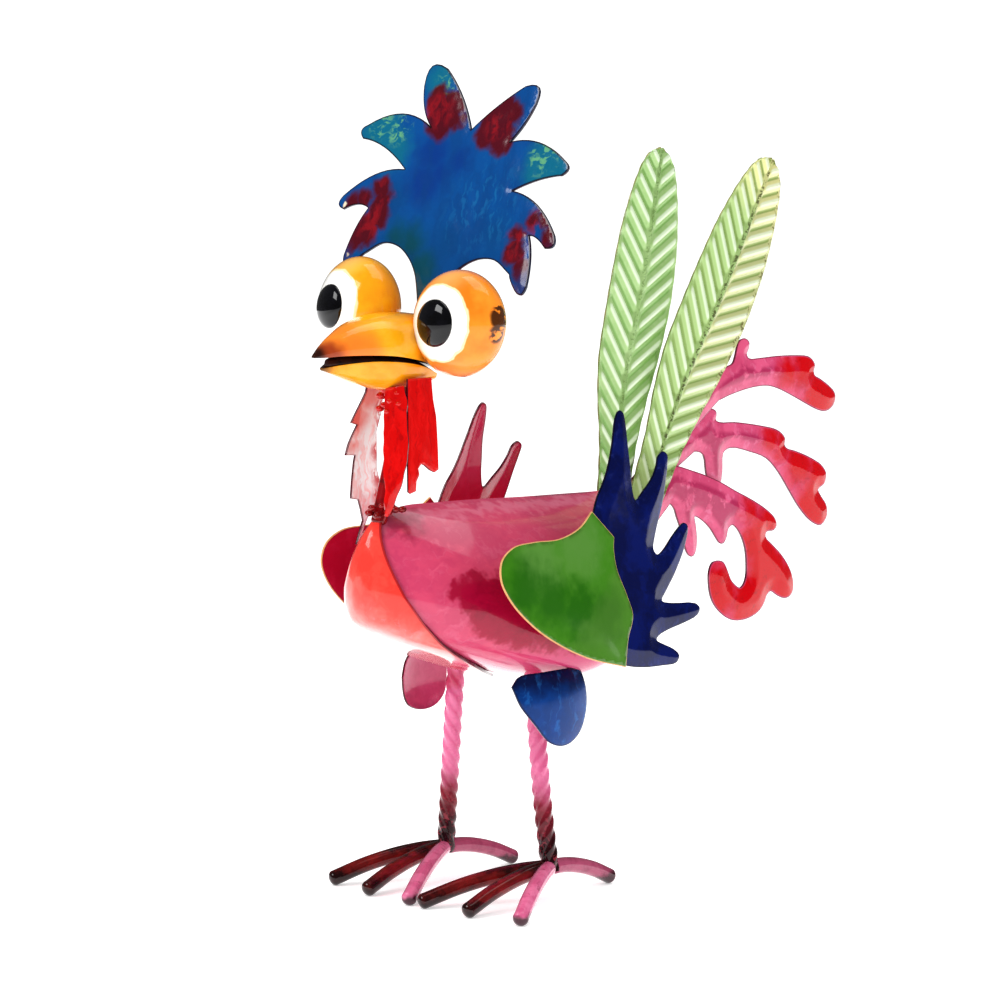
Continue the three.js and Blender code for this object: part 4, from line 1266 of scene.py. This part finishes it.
# %% Weld beads
BEADS = {
    "chin": [(2, -77, 260, 2.6), (6, -79, 258, 2.2), (9, -80, 255, 2.4), (4, -80, 253, 1.8),
             (12, -79, 259, 2.2), (-2, -76, 257, 2.4), (0, -79, 251, 2.0), (8, -82, 250, 1.6),
             (14, -80, 254, 1.7)],
    "collar": [(3, -84, 199, 2.2), (-3, -84, 200, 2.0), (6, -80, 201, 2.3), (-6, -79, 201, 2.0),
               (4, -76, 203, 2.4), (8, -77, 202, 2.2), (10, -74, 202, 2.0), (0, -85, 203, 1.8),
               (5, -83, 204, 1.6)],
}
for place_word, beads in BEADS.items():
    parts = []
    for x, y, z, radius in beads:
        bpy.ops.object.select_all(action="DESELECT")
        bpy.ops.mesh.primitive_uv_sphere_add(segments=20, ring_count=12, radius=radius * MM,
                                             location=bird(x, y, z))
        bpy.ops.transform.resize(value=(1.15, 1.0, 0.8))
        parts.append(bpy.context.active_object)
    for part in parts:
        part.select_set(True)
    bpy.ops.object.join()
    bead = bpy.context.active_object
    bead.name = "weld_beads_" + place_word
    bead.data.materials.append(cherry_lacquer if place_word == "chin" else rod_lacquer)
    settle(bead, "red", "hackle_front" if place_word == "chin" else "neck_rod")

# %% [markdown]
# The two plumes are long leaves pressed in a die: a midrib and herringbone ribs that point
# down. A grid whose rows follow the herringbone puts every rib on a row of points, so the
# ribs stay crisp with few of them. The die left a narrow flat border.

# %% Plumes
CHEVRON, RIB_PITCH, RIB_RISE, MIDRIB_RISE, LEAF_GAUGE = 0.9, 11.0, 0.75, 0.9, 0.9
# how far the leaf bends to its front, where on its length and over how much of it
BEND, BEND_AT, BEND_OVER = 4.0, 0.32, 0.2
PLUME_PROFILE = spline([(0, 12), (0.15, 14.5), (0.3, 20), (0.45, 24.2), (0.58, 25.2), (0.7, 24.2),
                        (0.82, 20.8), (0.92, 15.5), (0.97, 10.5), (1, 1.5)], 8)


def plume(name, foot, tip, across, spread, paint):
    foot, tip = np.array(foot, float), np.array(tip, float)
    length = np.linalg.norm(tip - foot)
    lean = math.atan2(tip[0] - foot[0], tip[1] - foot[1])

    def half(height):
        return float(np.interp(height / length, PLUME_PROFILE[:, 0], PLUME_PROFILE[:, 1]))

    def height_at(rib, share):
        height = rib
        for _ in range(25):
            height = (height + rib + CHEVRON * half(height) * share) / 2
        return min(height, length)

    rows_per_rib, columns = 12, 16
    rows = int(round(length / RIB_PITCH)) * rows_per_rib
    verts, faces, ribs, sides = [], [], [], []
    for row in range(-2 * rows_per_rib, rows + 1):
        rib = row / rows * length
        for j in range(-columns, columns + 1):
            share = abs(j) / columns
            height = height_at(rib, share)
            bend = BEND * math.exp(-((height / length - BEND_AT) / BEND_OVER) ** 2)
            x = half(height) * spread * j / columns - bend
            wave = math.sin(2 * math.pi * row / rows_per_rib)
            crisp = math.copysign(abs(wave) ** 0.6, wave)
            ribbed = 0.0
            if share < 1:
                ribbed = smooth_step(0.06, 0.16, share) * smooth_step(1.0, 0.88, share)
            ridge = MIDRIB_RISE * (1 - smooth_step(0.0, 0.07, share))
            z = RIB_RISE * crisp * ribbed + ridge
            ribs.append(wave * ribbed)
            sides.append(j / columns)
            verts.append(bird(across + z, foot[0] + x * math.cos(lean) + height * math.sin(lean),
                              foot[1] - x * math.sin(lean) + height * math.cos(lean)))
    wide = 2 * columns + 1
    for r in range(rows + 2 * rows_per_rib):
        for j in range(2 * columns):
            a = r * wide + j
            faces.append((a, a + 1, a + wide + 1, a + wide))
    piece = new_object(name, verts, faces, [paint, leaf_edge])
    carry(piece, ribs, "rib")
    carry(piece, sides, "side")
    choose(piece)
    bpy.ops.object.mode_set(mode="EDIT")
    bpy.ops.mesh.select_all(action="SELECT")
    bpy.ops.mesh.remove_doubles(threshold=5e-5)
    bpy.ops.object.mode_set(mode="OBJECT")
    give_gauge(piece, LEAF_GAUGE)
    apply_modifiers(piece)
    settle(piece, "leaf", name.replace("_leaf", ""), angle=60)


leaf_edge = lacquer("olive_cut_edge", "#7d8a4c", [("#a8a070", clouds(6), 0.6)], rough=0.35)
fine_dashes = both(carried(0.09, 0.03, "side"),
                   both(carried(-0.09, -0.03, "side"), clouds(2.2, 0.5, 0.56)))
leaf_lacquer = lacquer("leaf_green_metallic_lacquer", "#a8c888", [
    ("#86b060", clouds(16, 0.42, 0.6), 0.4),
    ("#6fa045", sweep(bird(0, 110, 262), bird(0, 98, 205)), 0.6),
    # painted highlight on the rib crests and painted shade in the grooves between them
    ("#e6f4da", carried(0.35, 0.9, "rib"), 0.75),
    ("#7cab58", carried(-0.5, -0.95, "rib"), 0.7),
    ("#6d8a4c", fine_dashes, 0.6),
], rough=0.26, warp_mm=4, metal=0.25)
straw_lacquer = lacquer("straw_green_metallic_lacquer", "#a6c47e", [
    ("#cfd09a", both(carried(0.0, 0.1, "side"),
                     sweep(bird(0, 130, 220), bird(0, 160, 290))), 0.85),
    ("#ece6a4", sweep(bird(0, 200, 334), bird(0, 222, 366)), 0.7),
    # painted highlight on the rib crests and painted shade in the grooves between them
    ("#e8f4dc", carried(0.35, 0.9, "rib"), 0.7),
    ("#84a052", carried(-0.4, -0.9, "rib"), 0.75),
    ("#6a7a34", sweep(bird(0, 130, 232), bird(0, 116, 200)), 0.7),
    ("#4c4a2c", fine_dashes, 0.8),
    ("#6a6438", both(carried(0.86, 0.92, "side"), clouds(2.5, 0.52, 0.58)), 0.8),
], rough=0.26, warp_mm=3, metal=0.25)
plume("plume_front_leaf", (95.5, 192), (135, 380), -2.4, 1.0, leaf_lacquer)
plume("plume_rear_leaf", (114, 188), (225, 375), 2.4, 1.06, straw_lacquer)

# %% [markdown]
# The tail's three curls are cut from sheet and creased along the middle of every tongue.
# Their rims are free hand, so each is a smooth line through traced points, and a plain root
# band runs on under the plumes to the rump. The crease comes by itself: the sheet rises
# with the distance from its edge.

# %% Curls
CURL_FOLD, CURL_REACH, ROOT_HALF = 2.4, 8.0, 7.4
CURLS = {
    "upper": (-3.4, [(107, 191), (131, 209), (161, 235), (184, 251)], [
        (192.5, 261.3), (197.5, 262.9), (199.5, 266.5), (200.8, 270.5), (202.4, 274.2),
        (204.9, 275.9), (208.8, 276), (211.8, 273.9), (211.4, 270.7), (209.7, 267.6), (211.5, 265),
        (221.3, 264.8), (236.9, 265.4), (254.5, 265.2), (265.2, 264.3), (269.7, 262.2),
        (272.2, 258.9), (271.1, 255.8), (272, 253.2), (277.1, 251), (285.3, 246.8), (290.8, 242.7),
        (291.8, 239.4), (290, 235.6), (285.5, 233), (280.1, 232.5), (272.8, 234.2), (263.8, 237.6),
        (250.4, 242.9), (237.2, 247.5), (228.4, 249.2), (218.1, 249.1), (207.8, 247.9),
        (194.3, 245.3), (184, 243), (176, 246), (180, 254)]),
    "middle": (-7.3, [(104, 188), (136, 206), (166, 222)], [
        (166.9, 229.1), (174.2, 232.9), (177.5, 235.9), (180.8, 237.8), (183.7, 238.1),
        (187.7, 236.5), (188.2, 234.3), (187.6, 231.7), (191, 230.2), (203.6, 229.6),
        (216.4, 228.1), (229.4, 226.1), (240.7, 223.9), (246.9, 221.1), (250.1, 217.7),
        (249.6, 214.4), (252, 212.2), (258.6, 210.6), (269.4, 207.3), (279.4, 203.4), (284, 201),
        (289, 195.7), (287.5, 190.1), (281.5, 187), (284.5, 182.5), (289.3, 177.4), (290.3, 171.5),
        (284.7, 166.2), (275.2, 168.8), (264.2, 177.3), (254.8, 187.5), (243.9, 199.5),
        (233.1, 207.7), (218.1, 212.4), (200.3, 215.6), (194.4, 213), (193.7, 202.7), (192, 196.6),
        (187, 195), (182, 197), (179.5, 203), (177, 213), (168, 215.3), (158, 212), (158, 222)]),
    "lower": (-3.4, [(106, 166), (127, 184), (145, 199)], [
        (140.9, 208.5), (149.1, 208.7), (161.5, 205.6), (175.2, 201.7), (187.9, 197.2),
        (200.8, 191.6), (214.9, 185.9), (228.1, 179.5), (235.9, 174.1), (238, 169.8),
        (235.5, 167.2), (229, 166.8), (228, 163.8), (233.9, 159.1), (242.9, 152.2), (249.8, 144.6),
        (253.5, 137.4), (253.6, 131.1), (250, 127.9), (244.4, 127.7), (238.8, 129.7), (233, 132.6),
        (229.9, 131), (227.7, 127.2), (223.4, 122.8), (215.7, 119.8), (206, 118.7), (197.3, 119.9),
        (189.8, 123.4), (183.3, 128.7), (179.5, 134.5), (177.7, 142.1), (178, 148.8),
        (180.9, 153.3), (185.7, 153.9), (190.5, 152.5), (193.8, 148.1), (197, 142.4),
        (201.4, 138.6), (205.2, 137), (208.4, 138.6), (210.6, 142.6), (211, 149.4), (209.8, 158.3),
        (206.5, 165.4), (202.1, 170.5), (197.8, 172.9), (194.6, 171.2), (193, 166.5),
        (190.4, 163.4), (186.9, 163.6), (184, 166.4), (178.6, 172.3), (171.2, 177.6), (165, 180),
        (166, 175.3), (167.1, 168.5), (166.6, 161.9), (164.1, 158.4), (160.4, 158.8), (157.3, 163),
        (154.1, 172.2), (149.9, 180.5), (147.5, 185.6), (143.1, 188.9), (136, 191), (134, 200)]),
}


def band(points, wide):
    line = evenly(spline(points, 12), 24)
    ways = frame_along(line)
    across = np.stack([-ways[:, 1], ways[:, 0]], axis=1) * wide
    return [tuple(p) for p in line - across] + [tuple(p) for p in (line + across)[::-1]]


def curl_lift(u, v, d):
    return CURL_FOLD * min(1.0, d / CURL_REACH)


RED_ENDS = [(-4, 282, 242, 22), (-4, 262, 258, 14), (-7, 279, 178, 20), (-7, 280, 197, 14),
            (-7, 262, 204, 14), (-7, 247, 214, 10), (-4, 228, 144, 20), (-4, 246, 136, 16),
            (-4, 212, 128, 18), (-4, 186, 138, 17), (-4, 222, 162, 18), (-4, 232, 172, 13),
            (-4, 246, 257, 10), (-7, 236, 220, 9), (-4, 212, 180, 9)]
red_reach = bird_spots(RED_ENDS, 8)
rose_red_lacquer = lacquer("rose_to_red_lacquer_on_steel", "#d25a80", [
    ("#b43862", clouds(12, 0.45, 0.6), 0.5),
    ("#e08aac", clouds(5, 0.56, 0.7), 0.35),
    ("#981c4c", both(carried(4.0, 7.0), clouds(9, 0.4, 0.5)), 0.7),
    ("#c00010", both(red_reach, carried(0.4, 1.2)), 1.0),
    ("#8c0010", both(red_reach, clouds(4, 0.58, 0.68)), 0.4),
    ("#4a0c20", carried(0.8, 0.25), 0.75),
], rough=0.16, coat=0.6, warp_mm=2.5, dent=0.35)
for curl_word, (across, root, rim) in CURLS.items():
    curl = cut_sheet("tail_curl_creased_" + curl_word, [smooth_loop(rim), band(root, ROOT_HALF)],
                     curl_lift, on_side(1, lambda u, v, a=across: a),
                     [rose_red_lacquer, rose_red_lacquer, seam_edge], step=1.2)
    settle(curl, "pink", "tail_curl_" + curl_word, angle=50)

# %% [markdown]
# A plain pale floor and three large soft lights stand in for a product studio. Gloss paint
# shows its surroundings more than its colour, so the air is white to the eye and soft on
# matt surfaces, but dim in a reflection: only the lights shine in the clear coat, and dark
# colours stay deep.

# %% Floor, lights and world
FLOOR_SIZE, FLOOR_GLOW = 12, 0.32
AIR_SEEN, AIR_MATT, AIR_GLOSS = 1.0, 0.75, 0.1
bpy.ops.object.select_all(action="DESELECT")
bpy.ops.mesh.primitive_plane_add(size=FLOOR_SIZE, location=(0, 0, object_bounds()[0].z))
floor = bpy.context.active_object
floor.name = "studio_floor"
floor_paint = bpy.data.materials.new("matt_pale_board")
floor_paint.use_nodes = True
floor_shader = floor_paint.node_tree.nodes["Principled BSDF"]
floor_shader.inputs["Base Color"].default_value = linear("#fbfbfb")
floor_shader.inputs["Roughness"].default_value = 0.9
floor_shader.inputs["Specular IOR Level"].default_value = 0.0
floor_shader.inputs["Emission Color"].default_value = (1, 1, 1, 1)
floor_shader.inputs["Emission Strength"].default_value = FLOOR_GLOW
floor.data.materials.append(floor_paint)


def soft_light(name, place, target, size, power, mirrored=True):
    bpy.ops.object.select_all(action="DESELECT")
    bpy.ops.object.light_add(type="AREA", location=place)
    light = bpy.context.active_object
    light.name = name
    light.data.shape = "SQUARE"
    light.data.size = size
    light.data.energy = power
    light.rotation_euler = (Vector(target) - Vector(place)).to_track_quat("-Z", "Y").to_euler()
    light.visible_glossy = mirrored


middle = (0, 0, 0.2)
soft_light("key_softbox", (-0.5, -1.6, 1.5), middle, size=0.9, power=13)
soft_light("side_softbox", (1.7, 0.4, 0.9), middle, size=0.9, power=5, mirrored=False)
soft_light("top_softbox", (0.2, 0.5, 2.0), middle, size=1.4, power=9)
world = bpy.data.worlds.new("studio_air")
world.use_nodes = True
air = world.node_tree
ray = add_node(air, "ShaderNodeLightPath")
unlit = add_node(air, "ShaderNodeMix", [(0, ray.outputs["Is Glossy Ray"])],
                 data_type="FLOAT", in_2=AIR_MATT, in_3=AIR_GLOSS)
seen = add_node(air, "ShaderNodeMix", [(0, ray.outputs["Is Camera Ray"]), (2, unlit.outputs[0])],
                data_type="FLOAT", in_3=AIR_SEEN)
air.nodes["Background"].inputs["Color"].default_value = (1, 1, 1, 1)
air.links.new(seen.outputs[0], air.nodes["Background"].inputs["Strength"])
bpy.context.scene.world = world
bpy.context.scene.view_settings.view_transform = "Standard"
bpy.context.scene.view_settings.look = "Medium High Contrast"
